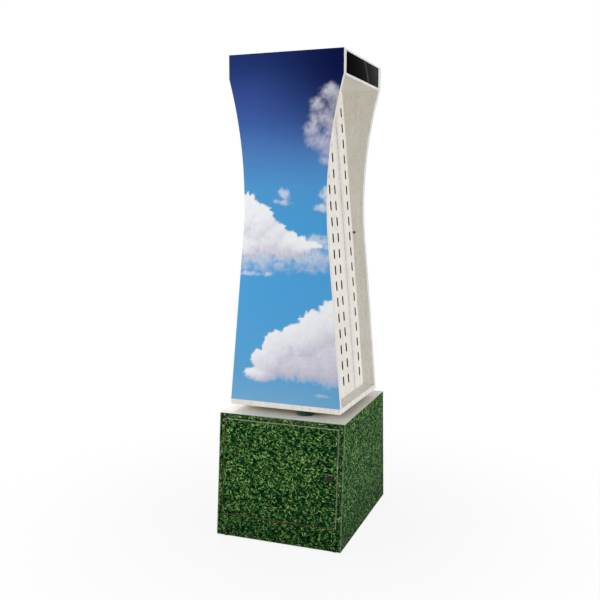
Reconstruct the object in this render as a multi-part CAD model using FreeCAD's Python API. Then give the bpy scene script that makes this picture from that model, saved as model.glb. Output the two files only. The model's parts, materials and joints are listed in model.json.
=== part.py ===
import FreeCAD, Part

# Revolving floor display stand for eyewear.
#
# A battered cabinet with a lockable door stands on four feet. A ball-bearing turntable on its top
# carries a waisted tower: two printed panels, front and back, with a leaning slotted board on each
# side between them, and a boxed head on top.
#
# Frame: millimetres, +Z up, the door looks along -Y, the origin lies on the floor under the middle.
# The cabinet's front and back faces lean inwards, so what belongs to the front face is built in a
# frame of its own: u to the right, v up along the face, w out of it.

import math
import os

from FreeCAD import Placement, Rotation, Vector

# Overall sizes of the stand
stand_height = 1800.0
base_width = 494.0
base_depth_top = 556.0
base_depth_bottom = 632.0
base_top_height = 475.0
tower_width = 443.0
tower_depth = 455.0
tower_rest_angle = -1.6

# Board and film stock
board_thickness = 18.0
tower_floor_thickness = 20.0
slot_board_thickness = 15.0
film_thickness = 0.4

# Feet
foot_height = 10.0
foot_radius = 15.0
foot_taper = 2.0
foot_inset = 30.0
foot_screw_radius = 2.0
foot_screw_head_radius = 4.5
foot_screw_head_height = 3.0
foot_screw_recess = 4.0
foot_screw_grip = 12.0

# Cabinet front
rail_height = 62.0
door_gap = 3.0

# Door pivots
pivot_inset = 15.0
pivot_pin_radius = 4.0
pivot_pin_hold = 10.0
pivot_bush_radius = 6.0
pivot_bush_length = 14.0
pivot_pin_end_play = 2.0
pivot_washer_radius = 8.0
running_clearance = 0.05
body_clearance = 0.3

# Cam lock
lock_edge_distance = 30.0
lock_flange_radius = 12.5
lock_flange_height = 3.0
lock_barrel_radius = 9.5
lock_barrel_reach = 6.0
lock_plug_radius = 6.0
lock_plug_head_radius = 8.0
lock_plug_head_height = 1.25
lock_key_width = 1.8
lock_key_length = 9.0
lock_key_depth = 1.0
lock_nut_across_flats = 24.0
lock_nut_height = 4.0
lock_tail_radius = 4.0
cam_length = 30.0
cam_half_width = 8.0
cam_thickness = 2.0
cam_screw_radius = 1.6
cam_screw_head_radius = 4.5
cam_screw_head_height = 2.2
cam_screw_grip = 7.0
strike_width = 10.0
strike_height = 30.0

# Turntable
turntable_height = 22.5
turntable_plate_radius = 140.0
turntable_plate_hole_radius = 60.0
turntable_plate_thickness = 2.0
ball_radius = 3.0
ball_count = 12
race_radius = 122.0
race_depth = 0.8
cage_thickness = 1.0
cage_width = 16.0
plate_screw_circle_radius = 80.0
plate_screw_count = 4
plate_screw_radius = 2.0
plate_screw_head_radius = 4.0
plate_screw_grip = 11.0

# Central bolt of the turntable
bolt_radius = 5.0
bolt_head_across_flats = 17.0
bolt_head_height = 6.4
bolt_washer_radius = 15.0
bolt_washer_thickness = 2.0
bolt_nut_height = 8.0
bolt_tip = 3.0

# Glide pads that steady the tower's rim
glide_radius = 36.0
glide_ring_radius = 195.0
glide_count = 3
glide_first_angle = 19.0

# Waisted panels
lean_angle = 5.0
straight_edge_height = 612.5
head_height = 86.0

# Slotted boards
slot_board_foot_inset = 48.7
slot_width = 12.0
slot_length = 35.0
slot_row_pitch = 61.8
slot_first_row = 60.9
slot_top_margin = 60.0
middle_column_spacing = 60.0
temple_spacing = 144.0
seam_width = 1.2
seam_depth = 0.8
cap_radius = 5.5
cap_height = 1.5
cap_board_distance = 8.5
cap_height_above_floor = 629.5

# Head
head_top_thickness = 6.0
head_plate_height = 76.0
head_floor_thickness = 9.0
head_batten_width = 9.0
head_batten_depth = 18.0
head_plate_thickness = 4.0
head_plate_recess = 1.0

# Cabinet values that follow
base_half_width = base_width / 2
film_half_width = base_half_width - film_thickness
inner_half_width = film_half_width - board_thickness
batter_slope = (base_depth_bottom - base_depth_top) / 2 / (base_top_height - foot_height)
batter_angle = math.atan(batter_slope)
floor_board_top = foot_height + board_thickness
top_board_bottom = base_top_height - board_thickness
rail_top_v = (floor_board_top + rail_height - foot_height) / math.cos(batter_angle)
opening_top_v = (top_board_bottom - foot_height) / math.cos(batter_angle)
front_inner_w = -film_thickness - board_thickness

# Door and lock values that follow
door_half_width = inner_half_width - door_gap
door_bottom_v = rail_top_v + door_gap
door_top_v = opening_top_v - door_gap
pivot_u = pivot_inset - door_half_width
pivot_w = front_inner_w / 2
lock_u = door_half_width - lock_edge_distance
lock_v = (door_bottom_v + door_top_v) / 2
lock_barrel_end_w = front_inner_w - lock_barrel_reach
cam_front_w = lock_barrel_end_w - body_clearance
cam_back_w = cam_front_w - cam_thickness
plug_seat_w = lock_flange_height - lock_plug_head_height - running_clearance

# Turntable values that follow
lower_plate_top = base_top_height + turntable_plate_thickness
ball_centre_z = lower_plate_top + ball_radius - race_depth
upper_plate_bottom = ball_centre_z + ball_radius - race_depth
upper_plate_top = upper_plate_bottom + turntable_plate_thickness
tower_bottom = base_top_height + turntable_height
tower_floor_top = tower_bottom + tower_floor_thickness

# Tower values that follow
tower_half_width = tower_width / 2
tower_half_depth = tower_depth / 2
panel_inner_y = tower_half_depth - board_thickness
lean = math.radians(lean_angle)
kink_z = stand_height - head_height
head_top_bottom = stand_height - head_top_thickness
head_floor_top = head_top_bottom - head_plate_height
head_floor_bottom = head_floor_top - head_floor_thickness
slot_board_foot_x = tower_half_width - slot_board_foot_inset
slot_board_length = (head_floor_bottom - tower_floor_top) / math.cos(lean)
slot_columns = (
    -middle_column_spacing / 2 - temple_spacing,
    -middle_column_spacing / 2,
    middle_column_spacing / 2,
    middle_column_spacing / 2 + temple_spacing,
)
slot_row_count = 1 + int((slot_board_length - slot_first_row - slot_top_margin) // slot_row_pitch)
seam_columns = (
    -(middle_column_spacing + temple_spacing) / 2,
    (middle_column_spacing + temple_spacing) / 2,
)

FRONT_FACE = Placement(
    Vector(0, -base_depth_bottom / 2, foot_height),
    Rotation(Vector(1, 0, 0), 90 - math.degrees(batter_angle)),
)


# Basic solids

def box(x0, x1, y0, y1, z0, z1):
    """Box between two corners."""
    return Part.makeBox(x1 - x0, y1 - y0, z1 - z0, Vector(x0, y0, z0))


def rod(radius, z0, z1, x=0.0, y=0.0):
    """Upright cylinder from z0 to z1."""
    return Part.makeCylinder(radius, z1 - z0, Vector(x, y, z0))


def ring(outer, inner, z0, z1):
    """Flat ring about the Z axis."""
    return rod(outer, z0, z1).cut(rod(inner, z0, z1))


def extrude_outline(points, travel):
    """Solid swept from a closed outline of corner points."""
    wire = Part.makePolygon(points + points[:1])
    return Part.Face(wire).extrude(travel)


def hexagon(across_flats, z0, z1):
    """Hexagonal prism about the Z axis."""
    radius = across_flats / math.sqrt(3)
    corners = []
    for i in range(6):
        turn = math.radians(60 * i)
        corners.append(Vector(radius * math.cos(turn), radius * math.sin(turn), z0))
    return extrude_outline(corners, Vector(0, 0, z1 - z0))


def around(count, radius, first_degrees=0.0):
    """Points of a bolt circle about the Z axis."""
    points = []
    for i in range(count):
        turn = math.radians(first_degrees + 360 * i / count)
        points.append((radius * math.cos(turn), radius * math.sin(turn)))
    return points


# Shapes that follow the cabinet's battered faces

def half_depth(z, inset=0.0):
    """Half of the cabinet's depth at height z, less an inset measured square to its face."""
    drop = (z - foot_height) * batter_slope
    return base_depth_bottom / 2 - drop - inset / math.cos(batter_angle)


def battered_block(x0, x1, z0, z1, inset=0.0):
    """Block that fills the cabinet's depth between two heights."""
    outline = [
        Vector(x0, -half_depth(z0, inset), z0),
        Vector(x0, half_depth(z0, inset), z0),
        Vector(x0, half_depth(z1, inset), z1),
        Vector(x0, -half_depth(z1, inset), z1),
    ]
    return extrude_outline(outline, Vector(x1 - x0, 0, 0))


def back_sheet(x0, x1, z0, z1, outer, inner):
    """Sheet that lies along the back face between two insets."""
    outline = [
        Vector(x0, half_depth(z0, outer), z0),
        Vector(x0, half_depth(z1, outer), z1),
        Vector(x0, half_depth(z1, inner), z1),
        Vector(x0, half_depth(z0, inner), z0),
    ]
    return extrude_outline(outline, Vector(x1 - x0, 0, 0))


def front_sheet(x0, x1, z0, z1, outer, inner):
    """Sheet that lies along the front face between two insets."""
    sheet = back_sheet(-x1, -x0, z0, z1, outer, inner)
    sheet.rotate(Vector(0, 0, 0), Vector(0, 0, 1), 180)
    return sheet


def on_front(shape):
    """Move a shape from the front face's u, v, w frame into the stand's frame."""
    placed = shape.copy()
    placed.Placement = FRONT_FACE.multiply(shape.Placement)
    return placed


def front_pin(radius, v0, v1):
    """Cylinder along the door's pivot axis."""
    return on_front(Part.makeCylinder(radius, v1 - v0, Vector(pivot_u, v0, pivot_w), Vector(0, 1, 0)))


def at_lock(shape):
    """Move a shape built about the Z axis onto the lock's axis."""
    placed = shape.copy()
    placed.translate(Vector(lock_u, lock_v, 0))
    return on_front(placed)


# Cabinet

def foot_points():
    """Centres of the four feet."""
    x = base_half_width - foot_inset
    y = base_depth_bottom / 2 - foot_inset
    return [(-x, -y), (x, -y), (x, y), (-x, y)]


def foot_screw_holes():
    """Pilot holes for the screws that hold the feet."""
    return [rod(foot_screw_radius, foot_height, foot_height + foot_screw_grip, x, y)
            for x, y in foot_points()]


def base_bottom_board():
    """Lowest board of the cabinet, which the feet are screwed to."""
    board = battered_block(-film_half_width, film_half_width, foot_height, floor_board_top, film_thickness)
    return board.cut(foot_screw_holes())


def base_side(x0, x1):
    """Side board between the bottom and top boards."""
    return battered_block(x0, x1, floor_board_top, top_board_bottom, film_thickness)


def base_back_panel():
    """Back board between the sides."""
    return back_sheet(-inner_half_width, inner_half_width, floor_board_top, top_board_bottom,
                      film_thickness, film_thickness + board_thickness)


def base_bottom_rail():
    """Rail below the door, with its top edge square to the front face."""
    rail = on_front(box(-inner_half_width, inner_half_width, 0, rail_top_v, front_inner_w, -film_thickness))
    below = box(-base_width, base_width, -base_depth_bottom, 0, 0, floor_board_top)
    hole = front_pin(pivot_pin_radius, rail_top_v - pivot_pin_hold, rail_top_v)
    return rail.cut([below, hole])


def plate_screw_points(first_degrees):
    """Places of a turntable plate's screws."""
    return around(plate_screw_count, plate_screw_circle_radius, first_degrees)


def base_top_board():
    """Top board of the cabinet, bored for the turntable and the door's upper pivot pin."""
    board = battered_block(-film_half_width, film_half_width, top_board_bottom, base_top_height,
                           film_thickness)
    cuts = [rod(bolt_radius, top_board_bottom, base_top_height),
            front_pin(pivot_pin_radius, door_top_v, opening_top_v + pivot_pin_hold)]
    for x, y in plate_screw_points(0):
        cuts.append(rod(plate_screw_radius, base_top_height - plate_screw_grip, base_top_height, x, y))
    return board.cut(cuts)


def side_film(x0, x1):
    """Printed film over one side of the cabinet, edges included."""
    return battered_block(x0, x1, foot_height, base_top_height)


def back_film():
    """Printed film over the cabinet's back."""
    return back_sheet(-film_half_width, film_half_width, foot_height, base_top_height, 0, film_thickness)


def front_film():
    """Printed film over the cabinet's front, cut out for the door."""
    film = front_sheet(-film_half_width, film_half_width, foot_height, base_top_height, 0, film_thickness)
    opening = box(-inner_half_width, inner_half_width, rail_top_v, opening_top_v,
                  front_inner_w, board_thickness)
    return film.cut(on_front(opening))


def foot(x, y):
    """Round foot that narrows to the floor, with a recess for its screw."""
    body = Part.makeCone(foot_radius - foot_taper, foot_radius, foot_height, Vector(x, y, 0))
    recess = rod(foot_screw_head_radius + body_clearance, 0, foot_screw_recess, x, y)
    hole = rod(foot_screw_radius, foot_screw_recess, foot_height, x, y)
    return body.cut([recess, hole])


def foot_screw(x, y):
    """Pan-head screw of a foot."""
    head = rod(foot_screw_head_radius, foot_screw_recess - foot_screw_head_height, foot_screw_recess, x, y)
    shank = rod(foot_screw_radius, foot_screw_recess, foot_height + foot_screw_grip, x, y)
    return head.fuse(shank)


def group(make, points):
    """One compound of like pieces."""
    return Part.makeCompound([make(x, y) for x, y in points])


# Door, its pivots and its lock

def door_panel():
    """Door leaf, bored for the pivot bushes and the lock."""
    leaf = on_front(box(-door_half_width, door_half_width, door_bottom_v, door_top_v,
                        front_inner_w, -film_thickness))
    return leaf.cut([
        front_pin(pivot_bush_radius, door_bottom_v, door_bottom_v + pivot_bush_length),
        front_pin(pivot_bush_radius, door_top_v - pivot_bush_length, door_top_v),
        at_lock(rod(lock_barrel_radius, front_inner_w, 0)),
    ])


def door_film():
    """Printed film on the door."""
    film = on_front(box(-door_half_width, door_half_width, door_bottom_v, door_top_v, -film_thickness, 0))
    return film.cut(at_lock(rod(lock_barrel_radius, -film_thickness, 0)))


def pivot_bushes():
    """Plastic bushes in the door's top and bottom edges."""
    spans = [(door_bottom_v, door_bottom_v + pivot_bush_length),
             (door_top_v - pivot_bush_length, door_top_v)]
    bushes = []
    for v0, v1 in spans:
        bore = front_pin(pivot_pin_radius + running_clearance, v0, v1)
        bushes.append(front_pin(pivot_bush_radius, v0, v1).cut(bore))
    return Part.makeCompound(bushes)


def pivot_pins():
    """Steel pins that the door turns on, one in the rail and one in the top board."""
    reach = pivot_bush_length - pivot_pin_end_play
    lower = front_pin(pivot_pin_radius, rail_top_v - pivot_pin_hold, door_bottom_v + reach)
    upper = front_pin(pivot_pin_radius, door_top_v - reach, opening_top_v + pivot_pin_hold)
    return Part.makeCompound([lower, upper])


def pivot_washer():
    """Washer on the lower pin that carries the door."""
    top = door_bottom_v - body_clearance
    return front_pin(pivot_washer_radius, rail_top_v, top).cut(front_pin(pivot_pin_radius, rail_top_v, top))


def lock_housing():
    """Flanged lock barrel in the door."""
    barrel = rod(lock_barrel_radius, lock_barrel_end_w, 0)
    flange = rod(lock_flange_radius, 0, lock_flange_height)
    rim = [edge for edge in flange.Edges if edge.BoundBox.ZMin > lock_flange_height / 2
           and edge.Closed and len(edge.Vertexes) == 1]
    flange = flange.makeChamfer(lock_flange_height / 3, rim)
    bore = rod(lock_plug_radius + running_clearance, lock_barrel_end_w, lock_flange_height)
    seat = rod(lock_plug_head_radius + running_clearance, plug_seat_w, lock_flange_height)
    return at_lock(barrel.fuse(flange).cut([bore, seat]))


def lock_nut():
    """Nut behind the door that clamps the lock."""
    nut = hexagon(lock_nut_across_flats, front_inner_w - lock_nut_height, front_inner_w)
    return at_lock(nut.cut(rod(lock_barrel_radius, front_inner_w - lock_nut_height, front_inner_w)))


def lock_plug():
    """Turning plug with its keyway and the tail that drives the cam."""
    head_bottom = plug_seat_w + running_clearance
    head = rod(lock_plug_head_radius, head_bottom, head_bottom + lock_plug_head_height)
    body = rod(lock_plug_radius, cam_front_w, head_bottom)
    tail = rod(lock_tail_radius, cam_back_w, cam_front_w)
    top = head_bottom + lock_plug_head_height
    keyway = box(-lock_key_width / 2, lock_key_width / 2, -lock_key_length / 2, lock_key_length / 2,
                 top - lock_key_depth, top)
    screw_hole = rod(cam_screw_radius, cam_back_w, cam_back_w + cam_screw_grip)
    return at_lock(head.fuse([body, tail]).cut([keyway, screw_hole]))


def lock_cam():
    """Cam that hangs down when the door is free and points at the strike when it is locked."""
    hub = rod(cam_half_width, cam_back_w, cam_front_w)
    tip_centre = cam_length - cam_half_width
    tip = rod(cam_half_width, cam_back_w, cam_front_w, 0, -tip_centre)
    arm = box(-cam_half_width, cam_half_width, -tip_centre, 0, cam_back_w, cam_front_w)
    return at_lock(hub.fuse([arm, tip]).cut(rod(lock_tail_radius, cam_back_w, cam_front_w)))


def cam_screw():
    """Screw that holds the cam on the plug."""
    head = rod(cam_screw_head_radius, cam_back_w - cam_screw_head_height, cam_back_w)
    shank = rod(cam_screw_radius, cam_back_w, cam_back_w + cam_screw_grip)
    return at_lock(head.fuse(shank))


def lock_strike():
    """Block on the right side board that the cam locks behind."""
    return on_front(box(inner_half_width - strike_width, inner_half_width,
                        lock_v - strike_height / 2, lock_v + strike_height / 2,
                        lock_barrel_end_w, front_inner_w - body_clearance))


# Turntable

def race(z_offset):
    """Ball race to cut into a plate."""
    return Part.makeTorus(race_radius, ball_radius + running_clearance, Vector(0, 0, ball_centre_z + z_offset))


def countersunk(x, y, face_z, direction):
    """Countersunk screw whose head is flush with face_z and whose shank runs along direction."""
    axis = Vector(0, 0, direction)
    head = Part.makeCone(plate_screw_head_radius, plate_screw_radius, turntable_plate_thickness,
                         Vector(x, y, face_z), axis)
    shank = Part.makeCylinder(plate_screw_radius, turntable_plate_thickness + plate_screw_grip,
                              Vector(x, y, face_z), axis)
    return head.fuse(shank)


def lower_plate_screws():
    """Screws of the lower turntable plate."""
    return [countersunk(x, y, lower_plate_top, -1) for x, y in plate_screw_points(0)]


def upper_plate_screws():
    """Screws of the upper turntable plate."""
    half_step = 180 / plate_screw_count
    return [countersunk(x, y, upper_plate_bottom, 1) for x, y in plate_screw_points(half_step)]


def turntable_lower_plate():
    """Steel ring plate on the cabinet's top, with the lower race."""
    plate = ring(turntable_plate_radius, turntable_plate_hole_radius, base_top_height, lower_plate_top)
    return plate.cut([race(0)] + lower_plate_screws())


def turntable_upper_plate():
    """Steel ring plate under the spacer, with the upper race."""
    plate = ring(turntable_plate_radius, turntable_plate_hole_radius, upper_plate_bottom, upper_plate_top)
    return plate.cut([race(0)] + upper_plate_screws())


def bearing_balls():
    """Balls between the two plates."""
    return group(lambda x, y: Part.makeSphere(ball_radius, Vector(x, y, ball_centre_z)),
                 around(ball_count, race_radius))


def ball_cage():
    """Ring that keeps the balls apart."""
    cage = ring(race_radius + cage_width / 2, race_radius - cage_width / 2,
                ball_centre_z - cage_thickness / 2, ball_centre_z + cage_thickness / 2)
    pockets = [Part.makeSphere(ball_radius + 2 * running_clearance, Vector(x, y, ball_centre_z))
               for x, y in around(ball_count, race_radius)]
    return cage.cut(pockets)


def turntable_spacer():
    """Board disc between the upper plate and the tower's floor."""
    disc = ring(turntable_plate_radius, bolt_radius + running_clearance, upper_plate_top, tower_bottom)
    return disc.cut(upper_plate_screws())


def pivot_bolt():
    """Bolt through the cabinet's top that the tower turns about."""
    head = hexagon(bolt_head_across_flats, top_board_bottom - bolt_head_height, top_board_bottom)
    tip = tower_floor_top + body_clearance + bolt_washer_thickness + bolt_nut_height + bolt_tip
    return head.fuse(rod(bolt_radius, top_board_bottom, tip))


def pivot_bolt_washer():
    """Washer above the tower's floor."""
    bottom = tower_floor_top + body_clearance
    return ring(bolt_washer_radius, bolt_radius, bottom, bottom + bolt_washer_thickness)


def pivot_bolt_nut():
    """Lock nut on the bolt, which keeps the tower from lifting off."""
    bottom = tower_floor_top + body_clearance + bolt_washer_thickness
    nut = hexagon(bolt_head_across_flats, bottom, bottom + bolt_nut_height)
    return nut.cut(rod(bolt_radius, bottom, bottom + bolt_nut_height))


def glide_pads():
    """Round green pads on the cabinet's top that steady the tower's rim."""
    return group(lambda x, y: rod(glide_radius, base_top_height, tower_bottom - body_clearance, x, y),
                 around(glide_count, glide_ring_radius, glide_first_angle - 90))


# Tower, built square to the stand and turned to its rest angle when it is written

def tower_floor_board():
    """Floor of the tower, with the fine seams that continue those of the slotted boards."""
    board = box(-tower_half_width, tower_half_width, -tower_half_depth, tower_half_depth,
                tower_bottom, tower_floor_top)
    cuts = [rod(bolt_radius + 2 * running_clearance, tower_bottom, tower_floor_top)]
    for y in seam_columns:
        for x0, x1 in ((-tower_half_width, -slot_board_foot_x), (slot_board_foot_x, tower_half_width)):
            cuts.append(box(x0, x1, y - seam_width / 2, y + seam_width / 2,
                            tower_floor_top - seam_depth, tower_floor_top))
    return board.cut(cuts)


def waist_arc():
    """Arc of the right edge, tangent to the leaning straight edge and ending at the head's corner."""
    start_z = tower_floor_top + straight_edge_height
    start = Vector(tower_half_width - straight_edge_height * math.tan(lean), 0, start_z)
    end = Vector(tower_half_width, 0, kink_z)
    outward = Vector(math.cos(lean), 0, math.sin(lean))
    chord = end.sub(start)
    radius = chord.dot(chord) / (2 * chord.dot(outward))
    centre = start.add(outward * radius)
    middle = start.add(end).multiply(0.5).sub(centre).normalize()
    return start, centre.add(middle * radius), end


def mirrored(point):
    """The same point on the left edge."""
    return Vector(-point.x, point.y, point.z)


def panel_slab(y0, y1):
    """Waisted outline of the tower's front and back panels, between two depths."""
    arc_start, arc_middle, arc_end = waist_arc()
    foot_corner = Vector(tower_half_width, 0, tower_floor_top)
    head_corner = Vector(tower_half_width, 0, stand_height)
    edges = [
        Part.LineSegment(mirrored(foot_corner), foot_corner),
        Part.LineSegment(foot_corner, arc_start),
        Part.Arc(arc_start, arc_middle, arc_end),
        Part.LineSegment(arc_end, head_corner),
        Part.LineSegment(head_corner, mirrored(head_corner)),
        Part.LineSegment(mirrored(head_corner), mirrored(arc_end)),
        Part.Arc(mirrored(arc_end), mirrored(arc_middle), mirrored(arc_start)),
        Part.LineSegment(mirrored(arc_start), mirrored(foot_corner)),
    ]
    face = Part.Face(Part.Wire([edge.toShape() for edge in edges]))
    slab = face.extrude(Vector(0, y1 - y0, 0))
    slab.translate(Vector(0, y0, 0))
    return slab


def slot_board_face_x(z):
    """Half distance between the outer faces of the slotted boards at height z."""
    return slot_board_foot_x - (z - tower_floor_top) * math.tan(lean)


def slot_cutter(column_y, distance_up):
    """Round-ended slot through the right board, square to its face."""
    half_straight = (slot_length - slot_width) / 2
    depth = 2 * slot_board_thickness
    middle = box(-half_straight, half_straight, -slot_width / 2, slot_width / 2, -depth, depth)
    lower = rod(slot_width / 2, -depth, depth, -half_straight, 0)
    upper = rod(slot_width / 2, -depth, depth, half_straight, 0)
    cutter = middle.fuse([lower, upper]).removeSplitter()
    board_frame = Placement(Vector(slot_board_foot_x, 0, tower_floor_top),
                            Rotation(Vector(0, 1, 0), -90 - lean_angle))
    cutter.Placement = board_frame.multiply(Placement(Vector(distance_up, column_y, 0), Rotation()))
    return cutter


def right_slotted_board():
    """Leaning board with the slots that the temples of the eyewear go into."""
    slant = slot_board_thickness / math.cos(lean)
    bottom_x = slot_board_face_x(tower_floor_top)
    top_x = slot_board_face_x(head_floor_bottom)
    outline = [
        Vector(bottom_x, -panel_inner_y, tower_floor_top),
        Vector(top_x, -panel_inner_y, head_floor_bottom),
        Vector(top_x - slant, -panel_inner_y, head_floor_bottom),
        Vector(bottom_x - slant, -panel_inner_y, tower_floor_top),
    ]
    board = extrude_outline(outline, Vector(0, 2 * panel_inner_y, 0))
    cuts = [slot_cutter(y, slot_first_row + row * slot_row_pitch)
            for y in slot_columns for row in range(slot_row_count)]
    for y in seam_columns:
        seam = [Vector(corner.x, y - seam_width / 2, corner.z) for corner in outline[:2]]
        seam += [Vector(corner.x - seam_depth, y - seam_width / 2, corner.z) for corner in outline[1::-1]]
        cuts.append(extrude_outline(seam, Vector(0, seam_width, 0)))
    return board.cut(cuts)


def across(shape):
    """Mirror image on the tower's other side."""
    return shape.mirror(Vector(0, 0, 0), Vector(1, 0, 0))


def screw_caps():
    """Dark caps over the screws that join the panels to the slotted boards."""
    z = tower_floor_top + cap_height_above_floor
    x = slot_board_face_x(z) + cap_board_distance
    caps = []
    for side in (-1, 1):
        for end in (-1, 1):
            seat = Vector(side * x, end * panel_inner_y, z)
            caps.append(Part.makeCylinder(cap_radius, cap_height, seat, Vector(0, -end, 0)))
    return Part.makeCompound(caps)


def head_board(z0, z1):
    """Board of the head between the two panels."""
    return box(-tower_half_width, tower_half_width, -panel_inner_y, panel_inner_y, z0, z1)


def head_battens():
    """Upright battens in the head's corners, which frame the dark side plates."""
    battens = []
    for side in (-1, 1):
        for end in (-1, 1):
            xs = sorted((side * tower_half_width, side * (tower_half_width - head_batten_depth)))
            ys = sorted((end * panel_inner_y, end * (panel_inner_y - head_batten_width)))
            battens.append(box(*xs, *ys, head_floor_top, head_top_bottom))
    return Part.makeCompound(battens)


def right_head_plate():
    """Dark glossy plate in the head's side."""
    outer = tower_half_width - head_plate_recess
    half_length = panel_inner_y - head_batten_width
    return box(outer - head_plate_thickness, outer, -half_length, half_length,
               head_floor_top, head_top_bottom)


# Named pieces

def base_nodes():
    """Pieces that stand still."""
    return {
        "base_bottom_board": base_bottom_board(),
        "base_left_side": base_side(-film_half_width, -inner_half_width),
        "base_right_side": base_side(inner_half_width, film_half_width),
        "base_back_panel": base_back_panel(),
        "base_bottom_rail": base_bottom_rail(),
        "base_top_board": base_top_board(),
        "grass_film_left": side_film(-base_half_width, -film_half_width),
        "grass_film_right": side_film(film_half_width, base_half_width),
        "grass_film_back": back_film(),
        "grass_film_front": front_film(),
        "feet": group(foot, foot_points()),
        "foot_screws": group(foot_screw, foot_points()),
        "door_pivot_pins": pivot_pins(),
        "door_pivot_washer": pivot_washer(),
        "lock_strike": lock_strike(),
        "turntable_lower_plate": turntable_lower_plate(),
        "lower_plate_screws": Part.makeCompound(lower_plate_screws()),
        "bearing_balls": bearing_balls(),
        "ball_cage": ball_cage(),
        "pivot_bolt": pivot_bolt(),
        "pivot_bolt_washer": pivot_bolt_washer(),
        "pivot_bolt_nut": pivot_bolt_nut(),
        "glide_pads": glide_pads(),
    }


def door_nodes():
    """Pieces that swing with the door."""
    return {
        "door_panel": door_panel(),
        "grass_film_door": door_film(),
        "door_pivot_bushes": pivot_bushes(),
        "lock_housing": lock_housing(),
        "lock_nut": lock_nut(),
        "lock_plug": lock_plug(),
        "lock_cam": lock_cam(),
        "lock_cam_screw": cam_screw(),
    }


def tower_nodes():
    """Pieces that turn with the tower."""
    film_y = tower_half_depth - film_thickness
    slotted_board = right_slotted_board()
    head_plate = right_head_plate()
    return {
        "turntable_upper_plate": turntable_upper_plate(),
        "upper_plate_screws": Part.makeCompound(upper_plate_screws()),
        "turntable_spacer": turntable_spacer(),
        "tower_floor_board": tower_floor_board(),
        "front_panel": panel_slab(-film_y, -panel_inner_y),
        "back_panel": panel_slab(panel_inner_y, film_y),
        "sky_film_front": panel_slab(-tower_half_depth, -film_y),
        "sky_film_back": panel_slab(film_y, tower_half_depth),
        "left_slotted_board": across(slotted_board),
        "right_slotted_board": slotted_board,
        "panel_screw_caps": screw_caps(),
        "head_floor_board": head_board(head_floor_bottom, head_floor_top),
        "head_top_board": head_board(head_top_bottom, stand_height),
        "head_battens": head_battens(),
        "left_head_plate": across(head_plate),
        "right_head_plate": head_plate,
    }


def main():
    """Write one STEP file for each named piece."""
    os.makedirs("parts", exist_ok=True)
    nodes = base_nodes()
    nodes.update(door_nodes())
    for name, shape in tower_nodes().items():
        shape.rotate(Vector(0, 0, 0), Vector(0, 0, 1), tower_rest_angle)
        nodes[name] = shape
    for name, shape in nodes.items():
        shape.exportStep("parts/" + name + ".step")


main()
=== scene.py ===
"""Dress the revolving eyewear stand: prints, lacquer, metal, felt, light and camera.

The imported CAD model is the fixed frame. Printed films, eased panels, acrylic plates, the lock's
housing, feet, caps and glide pads are new surfaces worked out with numpy. Every other CAD piece
keeps its shape and gets a finish. All lengths are metres in the stand's own frame: +Z up, the
door looks along -Y, the origin is on the floor under the middle.
"""

import json
import logging
import math
from dataclasses import dataclass, field
from enum import Enum

import bpy
import numpy as np
from mathutils import Matrix, Vector

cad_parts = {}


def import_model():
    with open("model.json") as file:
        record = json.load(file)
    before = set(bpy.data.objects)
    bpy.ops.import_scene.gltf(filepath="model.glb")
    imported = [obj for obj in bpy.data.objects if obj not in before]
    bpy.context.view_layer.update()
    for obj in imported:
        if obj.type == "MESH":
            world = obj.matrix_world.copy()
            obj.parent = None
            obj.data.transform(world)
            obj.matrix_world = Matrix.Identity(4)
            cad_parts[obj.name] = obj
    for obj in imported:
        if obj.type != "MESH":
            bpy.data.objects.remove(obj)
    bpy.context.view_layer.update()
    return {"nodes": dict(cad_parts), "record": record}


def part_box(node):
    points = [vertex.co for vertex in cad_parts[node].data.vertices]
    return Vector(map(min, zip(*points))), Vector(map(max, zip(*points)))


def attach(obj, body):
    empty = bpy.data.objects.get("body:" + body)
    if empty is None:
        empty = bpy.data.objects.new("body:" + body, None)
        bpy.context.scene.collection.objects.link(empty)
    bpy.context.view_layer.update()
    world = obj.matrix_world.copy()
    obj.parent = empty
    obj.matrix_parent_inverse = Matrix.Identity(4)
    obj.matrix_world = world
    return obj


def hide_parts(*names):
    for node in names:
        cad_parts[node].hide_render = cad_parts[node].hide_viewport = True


LOG = logging.getLogger("stand")

REST_TURN = math.radians(-1.6)  # the tower's turn at rest, to the cabinet
LEAN = math.radians(5.0)  # how far the slotted boards and the panels' straight edges lean in
FILM = 0.0004  # thickness of the printed films
BOARD_JOINT = 0.102  # the boards' joints are this far to each side of the tower's middle
SHARP_BEND = math.radians(32.0)  # edges bent by more than this stay sharp

OWN_FINISH = {
    "left_slotted_board": "slotted_lacquer",
    "right_slotted_board": "slotted_lacquer",
    "tower_floor_board": "floor_lacquer",
    "door_pivot_washer": "brown_cap",
}

Triple = tuple[float, float, float]
Shade = tuple[int, int, int]
Socket = bpy.types.NodeSocket


# Colours

def tone(shade: Shade) -> tuple[float, float, float, float]:
    """Turn a display colour into the linear one that shaders take.

    Args:
        shade: Red, green and blue as shown on a screen, 0 to 255.

    Returns:
        Linear red, green, blue and a full alpha.
    """
    shown = np.array(shade, float) / 255.0
    linear = np.where(shown <= 0.04045, shown / 12.92, ((shown + 0.055) / 1.055) ** 2.4)
    return (float(linear[0]), float(linear[1]), float(linear[2]), 1.0)


# Node wiring

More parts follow.
